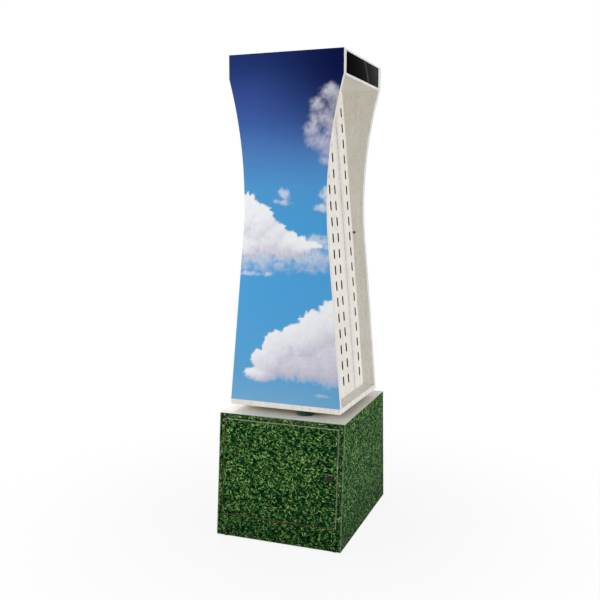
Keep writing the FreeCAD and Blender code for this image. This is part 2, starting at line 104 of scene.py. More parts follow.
class Wiring:
    """Short calls that add and join the nodes of one tree."""

    def __init__(self, tree: bpy.types.NodeTree) -> None:
        """Start from an empty tree."""
        self.tree = tree
        self.tree.nodes.clear()

    def add(self, kind: str, **settings: object) -> bpy.types.Node:
        """Add a node.

        Args:
            kind: Blender's name for that sort of node.
            settings: Properties to set on it.

        Returns:
            The node.
        """
        node = self.tree.nodes.new(kind)
        for key, value in settings.items():
            setattr(node, key, value)
        return node

    def join(self, source: Socket, target: Socket) -> None:
        """Link two sockets."""
        self.tree.links.new(source, target)

    def feed(self, target: Socket, value: object) -> None:
        """Give a socket its value.

        Args:
            target: The socket.
            value: A socket to link to it, or what to set on it.
        """
        if isinstance(value, bpy.types.NodeSocket):
            self.join(value, target)
        else:
            target.default_value = value

    def fill(self, node: bpy.types.Node, **values: object) -> bpy.types.Node:
        """Feed several inputs of a node.

        Args:
            node: The node.
            values: What goes into each input, by its name with underscores for spaces.

        Returns:
            The node.
        """
        for key, value in values.items():
            self.feed(node.inputs[key.replace("_", " ")], value)
        return node

    def math(self, operation: str, first: object, second: object = 0.0, clamp: bool = False) -> Socket:
        """Combine two numbers.

        Args:
            operation: One of the Math node's operations.
            first: A socket or a number.
            second: A socket or a number.
            clamp: Keep the result between 0 and 1.

        Returns:
            The result.
        """
        node = self.add("ShaderNodeMath", operation=operation, use_clamp=clamp)
        self.feed(node.inputs[0], first)
        self.feed(node.inputs[1], second)
        return node.outputs[0]

    def plus(self, first: object, second: object, clamp: bool = False) -> Socket:
        """Sum of two numbers."""
        return self.math("ADD", first, second, clamp)

    def minus(self, first: object, second: object) -> Socket:
        """First number less the second."""
        return self.math("SUBTRACT", first, second)

    def times(self, first: object, second: object) -> Socket:
        """Product of two numbers."""
        return self.math("MULTIPLY", first, second)

    def absolute(self, value: object) -> Socket:
        """A number without its sign."""
        return self.math("ABSOLUTE", value)

    def gap(self, first: object, second: object) -> Socket:
        """How far two numbers are apart."""
        return self.absolute(self.minus(first, second))

    def hypot(self, first: Socket, second: Socket) -> Socket:
        """Length of the slope over two sides of a right angle."""
        return self.math("SQRT", self.plus(self.times(first, first), self.times(second, second)))

    def fade(self, value: Socket, low: float, high: float, start: float = 0.0, end: float = 1.0) -> Socket:
        """Go smoothly from one number to another.

        Args:
            value: What decides.
            low: Where it starts to change.
            high: Where the change ends.
            start: The result up to low.
            end: The result from high on.

        Returns:
            The result.
        """
        node = self.add("ShaderNodeMapRange", interpolation_type="SMOOTHSTEP")
        self.fill(node, Value=value, From_Min=low, From_Max=high, To_Min=start, To_Max=end)
        return node.outputs[0]

    def blend(self, factor: object, first: object, second: object) -> Socket:
        """Mix two colours.

        Args:
            factor: 0 for the first, 1 for the second.
            first: A socket, or a colour as shown on a screen.
            second: A socket, or a colour as shown on a screen.

        Returns:
            The mixed colour.
        """
        node = self.add("ShaderNodeMix", data_type="RGBA")
        self.feed(node.inputs[0], factor)
        for place, colour in ((6, first), (7, second)):
            self.feed(node.inputs[place], tone(colour) if isinstance(colour, tuple) else colour)
        return node.outputs[2]

    def ramp(self, value: Socket, *stops: tuple[float, Shade]) -> Socket:
        """Look a colour up by a number.

        Args:
            value: The number, 0 to 1.
            stops: Positions and the colours there, as shown on a screen.

        Returns:
            The colour.
        """
        node = self.add("ShaderNodeValToRGB")
        bar = node.color_ramp.elements
        while len(bar) < len(stops):
            bar.new(0.5)
        for element, (position, shade) in zip(bar, stops):
            element.position = position
            element.color = tone(shade)
        self.join(value, node.inputs[0])
        return node.outputs[0]

    def relief(self, height: Socket, strength: float, depth: float, below: Socket | None = None) -> Socket:
        """Add a bump.

        Args:
            height: What stands up.
            strength: How strongly it shows, 0 to 1.
            depth: Its depth in metres.
            below: A bump that this one lies on.

        Returns:
            The bent normal.
        """
        node = self.fill(self.add("ShaderNodeBump"), Strength=strength, Distance=depth, Height=height)
        if below is not None:
            self.join(below, node.inputs["Normal"])
        return node.outputs[0]

    def combine(self, x: object, y: object, z: object = 0.0) -> Socket:
        """A coordinate from three numbers."""
        return self.fill(self.add("ShaderNodeCombineXYZ"), X=x, Y=y, Z=z).outputs[0]

    def mark(self, name: str) -> Socket:
        """A number stored on a piece's vertices."""
        return self.add("ShaderNodeAttribute", attribute_name=name).outputs["Fac"]


class Coat(Wiring):
    """The wiring of one material: patterns on Object coordinates and a Principled shader."""

    def __init__(self, name: str) -> None:
        """Start a material with its shader on the output.

        Args:
            name: Its name.
        """
        self.material = bpy.data.materials.new(name)
        self.material.use_nodes = True
        super().__init__(self.material.node_tree)
        self.shader = self.add("ShaderNodeBsdfPrincipled")
        self.output = self.add("ShaderNodeOutputMaterial")
        self.join(self.shader.outputs["BSDF"], self.output.inputs["Surface"])
        self.place = self.add("ShaderNodeTexCoord").outputs["Object"]

    def settings(self, **values: float) -> None:
        """Set plain values on the shader's own sockets."""
        self.fill(self.shader, **values)

    def mapping(self, scale: Triple = (1, 1, 1), turn: float = 0.0, shift: Triple = (0, 0, 0),
                source: Socket | None = None) -> Socket:
        """Scale, turn and shift a coordinate.

        Args:
            scale: Factor along each axis, applied before the turn.
            turn: Angle about Z in radians.
            shift: Added after the turn.
            source: The coordinate, or the Object coordinate if left out.

        Returns:
            The new coordinate.
        """
        node = self.add("ShaderNodeMapping")
        self.fill(node, Vector=source or self.place, Scale=scale, Rotation=(0, 0, turn), Location=shift)
        return node.outputs[0]

    def noise(self, scale: float, detail: float = 2.0, roughness: float = 0.5, distortion: float = 0.0,
              source: Socket | None = None, output: str = "Fac") -> Socket:
        """Fractal noise.

        Args:
            scale: Its features are about 1 / scale metres wide.
            detail: Number of octaves.
            roughness: Strength of each octave against the one before.
            distortion: How far the pattern is stirred.
            source: The coordinate, or the Object coordinate if left out.
            output: Fac for a number, Color for three.

        Returns:
            The noise, 0 to 1.
        """
        node = self.add("ShaderNodeTexNoise")
        self.fill(node, Vector=source or self.place, Scale=scale, Detail=detail, Roughness=roughness,
                  Distortion=distortion)
        return node.outputs[output]

    def grain(self, scale: Triple, detail: float, roughness: float, distortion: float = 0.0,
              turn: float = 0.0) -> Socket:
        """Noise that is stretched along the axes: its features are 1 / scale metres along each."""
        return self.noise(1.0, detail, roughness, distortion, source=self.mapping(scale, turn))

    def cells(self, scale: float, source: Socket | None = None, flat: bool = False) -> bpy.types.Node:
        """Voronoi cells.

        Args:
            scale: The cells are about 1 / scale metres wide.
            source: The coordinate, or the Object coordinate if left out.
            flat: Use only the coordinate's first two numbers.

        Returns:
            The node, with the distance to the cell's point and a colour for each cell.
        """
        node = self.add("ShaderNodeTexVoronoi", voronoi_dimensions="2D" if flat else "3D")
        return self.fill(node, Vector=source or self.place, Scale=scale)

    def split(self, source: Socket | None = None) -> tuple[Socket, Socket, Socket]:
        """The three numbers of a coordinate or colour."""
        node = self.fill(self.add("ShaderNodeSeparateXYZ"), Vector=source or self.place)
        return node.outputs[0], node.outputs[1], node.outputs[2]

    def finish(self, colour: Socket, roughness: Socket | None, normal: Socket) -> bpy.types.Material:
        """Join what varies over the surface to the shader.

        Args:
            colour: Base colour.
            roughness: Roughness, or None where it is a plain setting.
            normal: Bent normal.

        Returns:
            The finished material.
        """
        for name, value in (("Base Color", colour), ("Roughness", roughness), ("Normal", normal)):
            if value is not None:
                self.join(value, self.shader.inputs[name])
        return self.material


# Finishes

@dataclass(frozen=True)
class Finish:
    """A surface finish that knows how to build its material."""

    name: str

    def build(self) -> bpy.types.Material:
        """Build the material."""
        raise NotImplementedError


@dataclass(frozen=True)
class Lacquer(Finish):
    """Sprayed white lacquer on board, with pebbled mottling, faint streaks and handling marks."""

    name: str = "white_lacquer"
    clean: Shade = (238, 235, 227)
    dull: Shade = (224, 219, 208)
    pitted: Shade = (184, 179, 168)
    specked: Shade = (176, 168, 154)
    specular: float = 0.3

    def face(self, w: Coat) -> tuple[Socket, Socket, Socket]:
        """The sprayed face: slow cloudiness, streaks, pebbles, specks and orange peel.

        Args:
            w: The material's wiring.

        Returns:
            Its colour, roughness and normal.
        """
        slow = w.noise(3.5, 4.0, 0.6)
        streak = w.grain((60.0, 60.0, 2.4), 3.0, 0.6, 0.4)
        pebble = w.grain((165.0, 165.0, 60.0), 3.0, 0.7, 0.9)
        speck = w.noise(420.0, 2.0, 0.6)
        mixed = w.plus(w.times(slow, 0.62), w.times(streak, 0.38))
        colour = w.blend(w.fade(mixed, 0.34, 0.68), self.clean, self.dull)
        colour = w.blend(w.fade(pebble, 0.48, 0.66, 0.0, 0.36), colour, self.pitted)
        colour = w.blend(w.fade(speck, 0.74, 0.82, 0.0, 0.25), colour, self.specked)
        rough = w.fade(w.noise(11.0, 5.0, 0.65), 0.3, 0.7, 0.36, 0.50)
        peel = w.relief(w.noise(900.0, 2.0, 0.5), 0.25, 0.0002)
        wave = w.relief(pebble, 0.20, 0.0006, peel)
        w.settings(Specular_IOR_Level=self.specular)
        return colour, rough, wave

    def seam(self, w: Coat, colour: Socket, y: Socket, width: float, wobble: float,
             shade: Shade, strength: float) -> Socket:
        """Draw the filled joints between boards, at |y| = BOARD_JOINT.

        Args:
            w: The material's wiring.
            colour: Colour of the face.
            y: Distance along the stand's depth in the tower's own frame.
            width: Half width of the line in metres.
            wobble: How far the line wanders in metres.
            shade: Colour of the filler.
            strength: How strongly it shows.

        Returns:
            The colour with the joints.
        """
        drift = w.times(w.minus(w.noise(34.0, 3.0, 0.7), 0.5), wobble)
        off = w.gap(w.plus(w.absolute(y), drift), BOARD_JOINT)
        return w.blend(w.fade(off, width * 0.5, width, strength, 0.0), colour, shade)

    def build(self) -> bpy.types.Material:
        """The sprayed face all over."""
        w = Coat(self.name)
        return w.finish(*self.face(w))


@dataclass(frozen=True)
class FloorLacquer(Lacquer):
    """White lacquer on the tower's floor, whose joints show as thin brown lines."""

    name: str = "floor_lacquer"

    def build(self) -> bpy.types.Material:
        """The sprayed face with brown joints.

        Returns:
            The material.
        """
        w = Coat(self.name)
        colour, rough, normal = self.face(w)
        y = w.split(w.mapping(turn=-REST_TURN))[1]
        return w.finish(self.seam(w, colour, y, 0.0016, 0.002, (128, 98, 70), 0.8), rough, normal)


@dataclass(frozen=True)
class SlottedLacquer(Lacquer):
    """White lacquer on the outer face only; slot walls and the inner face are bare board, painted near black
    as the shade inside the slots.

    The depth below the outer face is (foot - (z - floor) tan(LEAN) - |x'|) cos(LEAN), where x' is
    measured in the tower's own turned frame.
    """

    name: str = "slotted_lacquer"
    # Painted light: these boards' lacquer is set lighter than the other boards' because they face the light
    # from the right.
    clean: Shade = (244, 241, 235)
    dull: Shade = (233, 229, 220)
    specular: float = 0.04
    foot: float = 0.1728
    floor: float = 0.5175
    first_row: float = 0.0609
    row_pitch: float = 0.0618
    slotted_span: tuple = (0.034, 1.1415)
    column: float = 0.072
    slot_half: float = 0.006
    slot_straight: float = 0.0115
    # How far the painted shade reaches round each slot.
    rim_shade_reach: float = 0.0024

    def slot_rim_shade(self, w: Coat, y: Socket, z: Socket) -> Socket:
        """Dark rims painted round the routed slots as shade, which makes them look wider.

        A row's centre is at first_row + n * row_pitch up the slope, a column's at
        |y| = BOARD_JOINT +- column. The distance to a slot is
        hypot(max(|along| - slot_straight, 0), across) - slot_half.

        Args:
            w: The material's wiring.
            y: Distance along the stand's depth in the tower's own frame.
            z: Height above the floor.

        Returns:
            1 at a slot and 0 past the painted rim.
        """
        slope = w.math("DIVIDE", w.minus(z, self.floor), math.cos(LEAN))
        row = w.math("DIVIDE", w.minus(slope, self.first_row), self.row_pitch)
        along = w.times(w.gap(row, w.math("ROUND", row)), self.row_pitch)
        along = w.math("MAXIMUM", w.minus(along, self.slot_straight), 0.0)
        across = w.gap(w.gap(w.absolute(y), BOARD_JOINT), self.column)
        rim = w.fade(w.hypot(along, across), self.slot_half + 0.0004, self.slot_half + self.rim_shade_reach, 0.9, 0.0)
        low, high = self.slotted_span
        here = w.times(w.fade(slope, low, low + 0.002), w.fade(slope, high - 0.002, high, 1.0, 0.0))
        return w.times(rim, here)

    def build(self) -> bpy.types.Material:
        """Mix the sprayed face and bare board by depth, with crazed filler along the joints; the bare board
        is painted near black as the shade inside the slots.

        Returns:
            The material.
        """
        w = Coat(self.name)
        colour, rough, normal = self.face(w)
        x, y, z = w.split(w.mapping(turn=-REST_TURN))
        drop = w.times(w.minus(z, self.floor), math.tan(LEAN))
        reach = w.minus(w.minus(self.foot, drop), w.absolute(x))
        bare = w.fade(w.times(reach, math.cos(LEAN)), 0.0006, 0.0012)
        fibre = w.grain((700.0, 260.0, 260.0), 5.0, 0.7, 0.6)
        # Painted shade: the bare board of the slot walls and inner face is drawn near black, far darker than
        # raw board, to stand for the shade in the slots.
        slot_shade_core = w.ramp(fibre, (0.3, (6, 4, 3)), (0.6, (13, 9, 6)), (0.85, (26, 19, 13)))
        craze = w.grain((70.0, 70.0, 38.0), 5.0, 0.8, 3.0)
        vein = w.fade(w.gap(craze, 0.5), 0.0, 0.035, 0.75, 0.0)
        away = w.gap(w.absolute(y), BOARD_JOINT)
        band = w.times(w.fade(away, 0.008, 0.040, 1.0, 0.0), w.fade(z, 0.8, 1.5, 0.55, 1.0))
        colour = w.blend(w.times(vein, band), colour, (118, 112, 100))
        colour = self.seam(w, colour, y, 0.0024, 0.022, (126, 119, 106), 0.80)
        # Painted shade: dark rims round the slot mouths.
        colour = w.blend(self.slot_rim_shade(w, y, z), colour, (44, 36, 27))
        rough = w.math("MAXIMUM", rough, w.times(bare, 0.85))
        return w.finish(w.blend(bare, colour, slot_shade_core), rough, normal)


@dataclass(frozen=True)
class RawBoard(Finish):
    """Bare fibreboard of the cabinet's carcass."""

    name: str = "raw_board"

    def build(self) -> bpy.types.Material:
        """Brown felted fibres with darker flecks and saw marks.

        Returns:
            The material.
        """
        w = Coat(self.name)
        fibre = w.grain((260.0, 260.0, 900.0), 5.0, 0.7, 0.6)
        fleck = w.noise(700.0, 3.0, 0.7)
        slow = w.noise(9.0, 3.0, 0.6)
        colour = w.ramp(fibre, (0.25, (122, 94, 66)), (0.5, (156, 124, 90)), (0.8, (182, 151, 114)))
        colour = w.blend(w.fade(fleck, 0.62, 0.74, 0.0, 0.6), colour, (92, 68, 46))
        colour = w.blend(w.fade(slow, 0.35, 0.7, 0.0, 0.35), colour, (146, 118, 90))
        saw = w.grain((12.0, 12.0, 420.0), 1.0, 0.5)
        normal = w.relief(saw, 0.2, 0.0002, w.relief(fibre, 0.35, 0.0003))
        w.settings(Roughness=0.86, Specular_IOR_Level=0.3)
        return w.finish(colour, None, normal)


@dataclass(frozen=True)
class SkyPrint(Finish):
    """Glossy film printed with a blue sky; its clouds come from numbers on the sheet's vertices."""

    name: str = "sky_print"
    ramp_foot: float = 0.5
    ramp_top: float = 1.8

    def build(self) -> bpy.types.Material:
        """Sky colour from height, cloud colour from light, and fine fibre in both.

        Returns:
            The material.
        """
        w = Coat(self.name)
        height = w.split()[2]
        drift = w.times(w.minus(w.noise(2.4, 4.0, 0.55), 0.5), 0.10)
        span = w.fill(w.add("ShaderNodeMapRange"), Value=w.plus(height, drift), From_Min=self.ramp_foot,
                      From_Max=self.ramp_top)
        sky = w.ramp(
            span.outputs[0],
            (0.00, (116, 172, 214)),
            (0.10, (92, 164, 214)),
            (0.30, (80, 162, 219)),
            (0.50, (74, 160, 219)),
            (0.63, (80, 154, 212)),
            (0.73, (78, 128, 193)),
            (0.81, (62, 96, 167)),
            (0.89, (50, 76, 146)),
            (0.96, (32, 54, 116)),
            (1.00, (28, 48, 108)))
        deep = w.times(w.fade(w.mark("sheet_across"), -0.7, 1.0), w.fade(height, 1.36, 1.76))
        sky = w.blend(deep, sky, (6, 18, 70))
        cover = w.mark("cloud_cover")
        puff = w.minus(w.noise(60.0, 6.0, 0.68, 0.6), 0.5)
        lit = w.plus(w.mark("cloud_light"), w.times(puff, 0.14))
        cloud = w.ramp(
            lit,
            (0.00, (150, 154, 184)),
            (0.35, (184, 179, 203)),
            (0.62, (211, 208, 221)),
            (0.85, (234, 236, 242)),
            (1.00, (246, 247, 250)))
        thin = w.times(cover, w.minus(1.0, cover))
        ragged = w.plus(cover, w.times(puff, w.times(thin, 3.2)), clamp=True)
        colour = w.blend(ragged, sky, cloud)
        rough = w.fade(w.noise(14.0, 4.0, 0.6), 0.3, 0.7, 0.30, 0.42)
        peel = w.relief(w.noise(600.0, 2.0, 0.5), 0.12, 0.0001)
        normal = w.relief(w.noise(16.0, 1.0, 0.5), 0.10, 0.0008, peel)
        w.settings(Specular_IOR_Level=0.03)
        return w.finish(colour, rough, normal)


@dataclass(frozen=True)
class GrassPrint(Finish):
    """Satin film printed with close-cut turf: blades lie over each other at all angles."""

    name: str = "grass_print"
    blade_length: float = 0.0215
    blade_width: float = 0.0034
    sway: float = 0.008
    angles: tuple = (12.0, 58.0, 97.0, 141.0, 169.0, 35.0)

    def layer(self, w: Coat, source: Socket, number: int, angle: float) -> tuple[Socket, Socket]:
        """One field of blades: slim Voronoi cells, each with two random numbers.

        Args:
            w: The material's wiring.
            source: Place on the print.
            number: Which layer it is; each one is shifted by its number.
            angle: Angle of the blades in degrees.

        Returns:
            Height and colour of the blades.
        """
        turned = w.mapping(turn=math.radians(angle), shift=(0.37 * number, 0.71 * number, 0), source=source)
        slim = w.mapping(scale=(1 / self.blade_length, 1 / self.blade_width, 1), source=turned)
        cell = w.cells(1.0, source=slim, flat=True)
        pick, shade, _ = w.split(cell.outputs["Color"])
        body = w.fade(cell.outputs["Distance"], 0.16, 0.50, 1.0, 0.0)
        height = w.times(body, w.plus(w.times(pick, 0.85), 0.15))
        ridge = w.plus(w.times(body, 0.5), 0.5)
        blade = w.ramp(
            w.times(shade, ridge),
            (0.00, (0, 10, 2)),
            (0.25, (1, 37, 15)),
            (0.46, (10, 74, 30)),
            (0.68, (54, 130, 54)),
            (1.00, (204, 236, 142)))
        return height, blade

    def build(self) -> bpy.types.Material:
        """Stack the layers: the highest blade shows, and gaps, patches and the foot go dark.

        Returns:
            The material.
        """
        w = Coat(self.name)
        x, y, z = w.split()
        flat = w.combine(w.plus(x, y), z)
        stir = w.noise(60.0, 1.0, 0.5, source=flat, output="Color")
        drift = w.fill(w.add("ShaderNodeVectorMath", operation="SCALE"), Vector=stir, Scale=self.sway)
        bent = w.add("ShaderNodeVectorMath", operation="ADD")
        w.join(flat, bent.inputs[0])
        w.join(drift.outputs[0], bent.inputs[1])
        (top_height, top_colour), *others = [self.layer(w, bent.outputs[0], number, angle)
                                             for number, angle in enumerate(self.angles)]
        for height, blade in others:
            over = w.fade(w.minus(height, top_height), -0.03, 0.04)
            top_colour = w.blend(over, top_colour, blade)
            top_height = w.math("MAXIMUM", height, top_height)
        colour = w.blend(w.fade(top_height, 0.20, 0.62), (0, 12, 5), top_colour)
        tuft = w.fade(w.noise(95.0, 3.0, 0.7, 0.8, source=flat), 0.36, 0.56, 0.35, 1.0)
        colour = w.blend(tuft, (0, 15, 4), colour)
        patch = w.fade(w.noise(14.0, 3.0, 0.6, source=flat), 0.35, 0.7, 0.0, 0.22)
        colour = w.blend(patch, colour, (2, 38, 28))
        colour = w.blend(w.fade(z, 0.01, 0.24, 0.34, 0.0), colour, (0, 16, 6))
        # Pale lines along the film's edges: partly worn film, partly a painted highlight on the corners and
        # ends.
        patchiness = w.fade(w.noise(130.0, 3.0, 0.7), 0.35, 0.6, 0.35, 1.0)
        wear_and_highlight = w.times(w.mark("edge_wear_and_highlight"), patchiness)
        colour = w.blend(wear_and_highlight, colour, (150, 158, 136))
        rough = w.fade(w.noise(20.0, 4.0, 0.6), 0.3, 0.7, 0.46, 0.60)
        normal = w.relief(w.noise(500.0, 2.0, 0.5), 0.15, 0.0001)
        w.settings(Specular_IOR_Level=0.008)
        return w.finish(colour, rough, normal)


@dataclass(frozen=True)
class BlackAcrylic(Finish):
    """Polished black sheet with hairline scratches and a little dust."""

    name: str = "black_gloss"

    def build(self) -> bpy.types.Material:
        """Near black, with roughness from scratches and dust.

        Returns:
            The material.
        """
        w = Coat(self.name)
        scratch = w.grain((40.0, 40.0, 1400.0), 2.0, 0.8, 1.5)
        dust = w.noise(900.0, 3.0, 0.8)
        colour = w.blend(w.fade(dust, 0.68, 0.82, 0.0, 0.30), (2, 2, 4), (34, 34, 38))
        rough = w.plus(w.fade(scratch, 0.6, 0.8, 0.05, 0.18), w.fade(dust, 0.6, 0.8, 0.0, 0.2))
        normal = w.relief(w.noise(5.0, 1.0, 0.5), 0.03, 0.001)
        w.settings(Specular_IOR_Level=0.002)
        return w.finish(colour, rough, normal)


class MetalLook(Enum):
    """The metal finishes on the stand: base colour, roughness, bump strength and mottling."""

    ZINC = ((176, 178, 182), 0.38, 0.25, 0.5)
    BRONZE = ((56, 46, 40), 0.34, 0.20, 0.4)


@dataclass(frozen=True)
class Metal(Finish):
    """Plated or brushed steel."""

    name: str = "zinc_steel"
    look: MetalLook = MetalLook.ZINC

    def build(self) -> bpy.types.Material:
        """Mottled plating with fine brushing.

        Returns:
            The material.
        """
        shade, roughness, brushing, mottling = self.look.value
        w = Coat(self.name)
        spangle = w.cells(140.0).outputs["Color"]
        cloudy = w.noise(60.0, 4.0, 0.6)
        dull = tuple(int(c * (1 - 0.25 * mottling)) for c in shade)
        colour = w.blend(w.times(w.split(spangle)[0], mottling), shade, dull)
        colour = w.blend(w.fade(cloudy, 0.4, 0.7, 0.0, 0.35), colour, dull)
        rough = w.fade(cloudy, 0.3, 0.7, roughness * 0.8, roughness * 1.3)
        brush = w.grain((300.0, 300.0, 4200.0), 3.0, 0.7)
        normal = w.relief(brush, brushing, 0.00008)
        w.settings(Metallic=1.0)
        return w.finish(colour, rough, normal)


@dataclass(frozen=True)
class Plastic(Finish):
    """Moulded plastic or rubber with a fine texture."""

    name: str = "nylon"
    shade: Shade = (222, 219, 208)
    gloss: float = 0.45
    grain: float = 0.2

    def build(self) -> bpy.types.Material:
        """Slow colour drift, moulded grain and scuffs.

        Returns:
            The material.
        """
        w = Coat(self.name)
        worn = tuple(min(255, int(c * 0.86 + 8)) for c in self.shade)
        colour = w.blend(w.fade(w.noise(45.0, 4.0, 0.6), 0.35, 0.65), self.shade, worn)
        scuff = w.noise(220.0, 4.0, 0.75, 1.0)
        light = tuple(min(255, int(c * 0.7 + 62)) for c in self.shade)
        colour = w.blend(w.fade(scuff, 0.64, 0.78, 0.0, 0.35), colour, light)
        rough = w.fade(w.noise(90.0, 3.0, 0.6), 0.3, 0.7, self.gloss * 0.85, min(1.0, self.gloss * 1.2))
        normal = w.relief(w.noise(1600.0, 2.0, 0.6), self.grain, 0.0002)
        return w.finish(colour, rough, normal)


@dataclass(frozen=True)
class Felt(Finish):
    """Pressed green felt."""

    name: str = "green_felt"

    def build(self) -> bpy.types.Material:
        """Matted fibres in two directions, with lighter stray hairs.

        Returns:
            The material.
        """
        w = Coat(self.name)
        first = w.grain((900.0, 260.0, 500.0), 5.0, 0.75, 1.4)
        second = w.grain((240.0, 980.0, 500.0), 5.0, 0.75, 1.4, turn=0.4)
        mat = w.times(w.plus(first, second), 0.5)
        colour = w.ramp(mat, (0.30, (6, 34, 28)), (0.52, (12, 58, 46)), (0.75, (40, 92, 74)))
        normal = w.relief(mat, 0.7, 0.0008)
        w.settings(Roughness=0.95, Sheen_Weight=0.4, Sheen_Roughness=0.5, Specular_IOR_Level=0.2)
        return w.finish(colour, None, normal)


@dataclass(frozen=True)
class Beech(Finish):
    """Sanded beech with short dark rays."""

    name: str = "beech"

    def build(self) -> bpy.types.Material:
        """Grain along X with the flecks that mark beech.

        Returns:
            The material.
        """
        w = Coat(self.name)
        grain = w.grain((9.0, 160.0, 160.0), 6.0, 0.6, 0.8)
        fleck = w.grain((140.0, 1100.0, 1100.0), 2.0, 0.6, 0.3)
        colour = w.ramp(grain, (0.3, (184, 146, 104)), (0.55, (206, 171, 128)), (0.8, (220, 190, 150)))
        colour = w.blend(w.fade(fleck, 0.62, 0.7, 0.0, 0.55), colour, (148, 106, 70))
        rough = w.fade(grain, 0.3, 0.7, 0.5, 0.66)
        return w.finish(colour, rough, w.relief(fleck, 0.25, 0.0002))


# Surfaces worked out with numpy

@dataclass
class Surface:
    """Points, faces and per-point numbers of a piece that isn't an object yet."""

    points: np.ndarray
    faces: list
    marks: dict = field(default_factory=dict)

    def moved(self, matrix: Matrix) -> "Surface":
        """The same surface with its points carried by a 4 by 4 matrix."""
        m = np.array(matrix, float)
        return Surface(self.points @ m[:3, :3].T + m[:3, 3], self.faces, self.marks)


def copies(surface: Surface, places: list[Matrix]) -> Surface:
    """Copies of a surface at several places, as one surface.

    Args:
        surface: The surface, without marks.
        places: The 4 by 4 matrix of each copy.

    Returns:
        The joined surface.
    """
    count = len(surface.points)
    faces = [[i + k * count for i in face] for k in range(len(places)) for face in surface.faces]
    return Surface(np.vstack([surface.moved(place).points for place in places]), faces)


def grid_faces(rows: int, columns: int, closed: bool = False, skip: np.ndarray | None = None) -> list:
    """Quads of a grid of points numbered row by row.

    Args:
        rows: Number of rows of points.
        columns: Number of points in a row.
        closed: Join the last column to the first.
        skip: Boolean array of the cells to leave out, by row and column.

    Returns:
        Faces as lists of four point numbers.
    """
    across = columns if closed else columns - 1
    r, c = np.meshgrid(np.arange(rows - 1), np.arange(across), indexing="ij")
    n = (c + 1) % columns
    quads = np.stack([r * columns + c, r * columns + n, (r + 1) * columns + n, (r + 1) * columns + c], -1)
    if skip is not None:
        quads = quads[~skip]
    return quads.reshape(-1, 4).tolist()


def lathe(profile: np.ndarray, steps: int = 48, ragged: np.ndarray | None = None) -> Surface:
    """Turn a profile about the Z axis: x = r cos a, y = r sin a, z = h.

    Args:
        profile: Radius and height of each point, from the bottom pole to the top pole.
        steps: Points in each ring.
        ragged: Added to the radius, by profile point and step.

    Returns:
        A closed surface whose faces point outwards.
    """
    turn = np.arange(steps) * 2 * math.pi / steps
    inner = profile[1:-1]
    radius = np.repeat(inner[:, :1], steps, 1)
    if ragged is not None:
        radius = radius + ragged
    rings = np.stack([radius * np.cos(turn), radius * np.sin(turn), np.repeat(inner[:, 1:], steps, 1)], -1)
    points = np.vstack([rings.reshape(-1, 3), [[0, 0, profile[0, 1]], [0, 0, profile[-1, 1]]]])
    faces = grid_faces(len(inner), steps, closed=True)
    low, high = len(points) - 2, len(points) - 1
    last = (len(inner) - 1) * steps
    faces += [[low, (i + 1) % steps, i] for i in range(steps)]
    faces += [[high, last + i, last + (i + 1) % steps] for i in range(steps)]
    return Surface(points, faces)


def tube(profile: np.ndarray, steps: int) -> Surface:
    """Turn a closed profile about the Z axis, as for a ring: x = r cos a, y = r sin a, z = h.

    Args:
        profile: Radius and height of each point, none on the axis.
        steps: Points in each ring.

    Returns:
        A closed surface.
    """
    turn = np.arange(steps) * 2 * math.pi / steps
    radius, height = profile[:, :1], profile[:, 1:]
    rings = np.stack([radius * np.cos(turn), radius * np.sin(turn), np.repeat(height, steps, 1)], -1)
    faces = np.array(grid_faces(len(profile) + 1, steps, closed=True)) % (len(profile) * steps)
    return Surface(rings.reshape(-1, 3), faces.tolist())


def inset(outline: np.ndarray, distance: float) -> np.ndarray:
    """Move an outline inwards: each corner goes along the mean of its edges' normals.

    Args:
        outline: Corners, counter-clockwise.
        distance: How far each edge moves.

    Returns:
        The new corners.
    """
    ahead = np.roll(outline, -1, 0) - outline
    ahead = ahead / np.linalg.norm(ahead, axis=1, keepdims=True)
    behind = np.roll(ahead, 1, 0)
    normal_ahead = np.stack([-ahead[:, 1], ahead[:, 0]], 1)
    normal_behind = np.stack([-behind[:, 1], behind[:, 0]], 1)
    share = 1 + np.sum(normal_ahead * normal_behind, 1, keepdims=True)
    return outline + distance * (normal_ahead + normal_behind) / share


def eased_slab(outline: np.ndarray, low: float, high: float, ease: float, steps: int = 3) -> Surface:
    """Slab over an outline in X and Y, from z = low to high, with its edges rounded.

    Near each cap the outline shrinks by ease * (1 - sin a) while z moves by ease * (1 - cos a),
    so the edge is a quarter circle.

    Args:
        outline: Corners, counter-clockwise seen from +Z.
        low: Height of the lower cap.
        high: Height of the upper cap.
        ease: Radius of the rounded edges.
        steps: Number of straight runs in each quarter circle.

    Returns:
        A closed surface.
    """
    turn = np.linspace(0, math.pi / 2, steps + 1)
    shrink = ease * (1 - np.sin(turn))
    rise = ease * (1 - np.cos(turn))
    count = len(outline)
    levels = list(zip(shrink, low + rise)) + list(zip(shrink[::-1], high - rise[::-1]))
    points = np.vstack([np.column_stack([inset(outline, s), np.full(count, z)]) for s, z in levels])
    faces = grid_faces(len(levels), count, closed=True)
    faces.append(list(range(count))[::-1])
    faces.append(list(range(len(points) - count, len(points))))
    return Surface(points, faces)


def rounded(points: list, radius: float, steps: int = 4) -> np.ndarray:
    """Round the marked corners of a lathe profile.

    Args:
        points: Radius, height and 1 for a corner to round or 0 to keep it sharp.
        radius: Size of the rounding.
        steps: Number of runs in each rounded corner.

    Returns:
        The new profile.
    """
    given = np.array([p[:2] for p in points], float)
    made = []
    share = np.linspace(0, 1, steps + 1)[:, None]
    for i, corner in enumerate(given):
        if not points[i][2]:
            made.append(corner[None])
            continue
        before, after = given[i - 1] - corner, given[(i + 1) % len(given)] - corner
        start = corner + before / np.linalg.norm(before) * min(radius, np.linalg.norm(before) / 2)
        end = corner + after / np.linalg.norm(after) * min(radius, np.linalg.norm(after) / 2)
        made.append((1 - share) ** 2 * start + 2 * share * (1 - share) * corner + share ** 2 * end)
    return np.vstack(made)


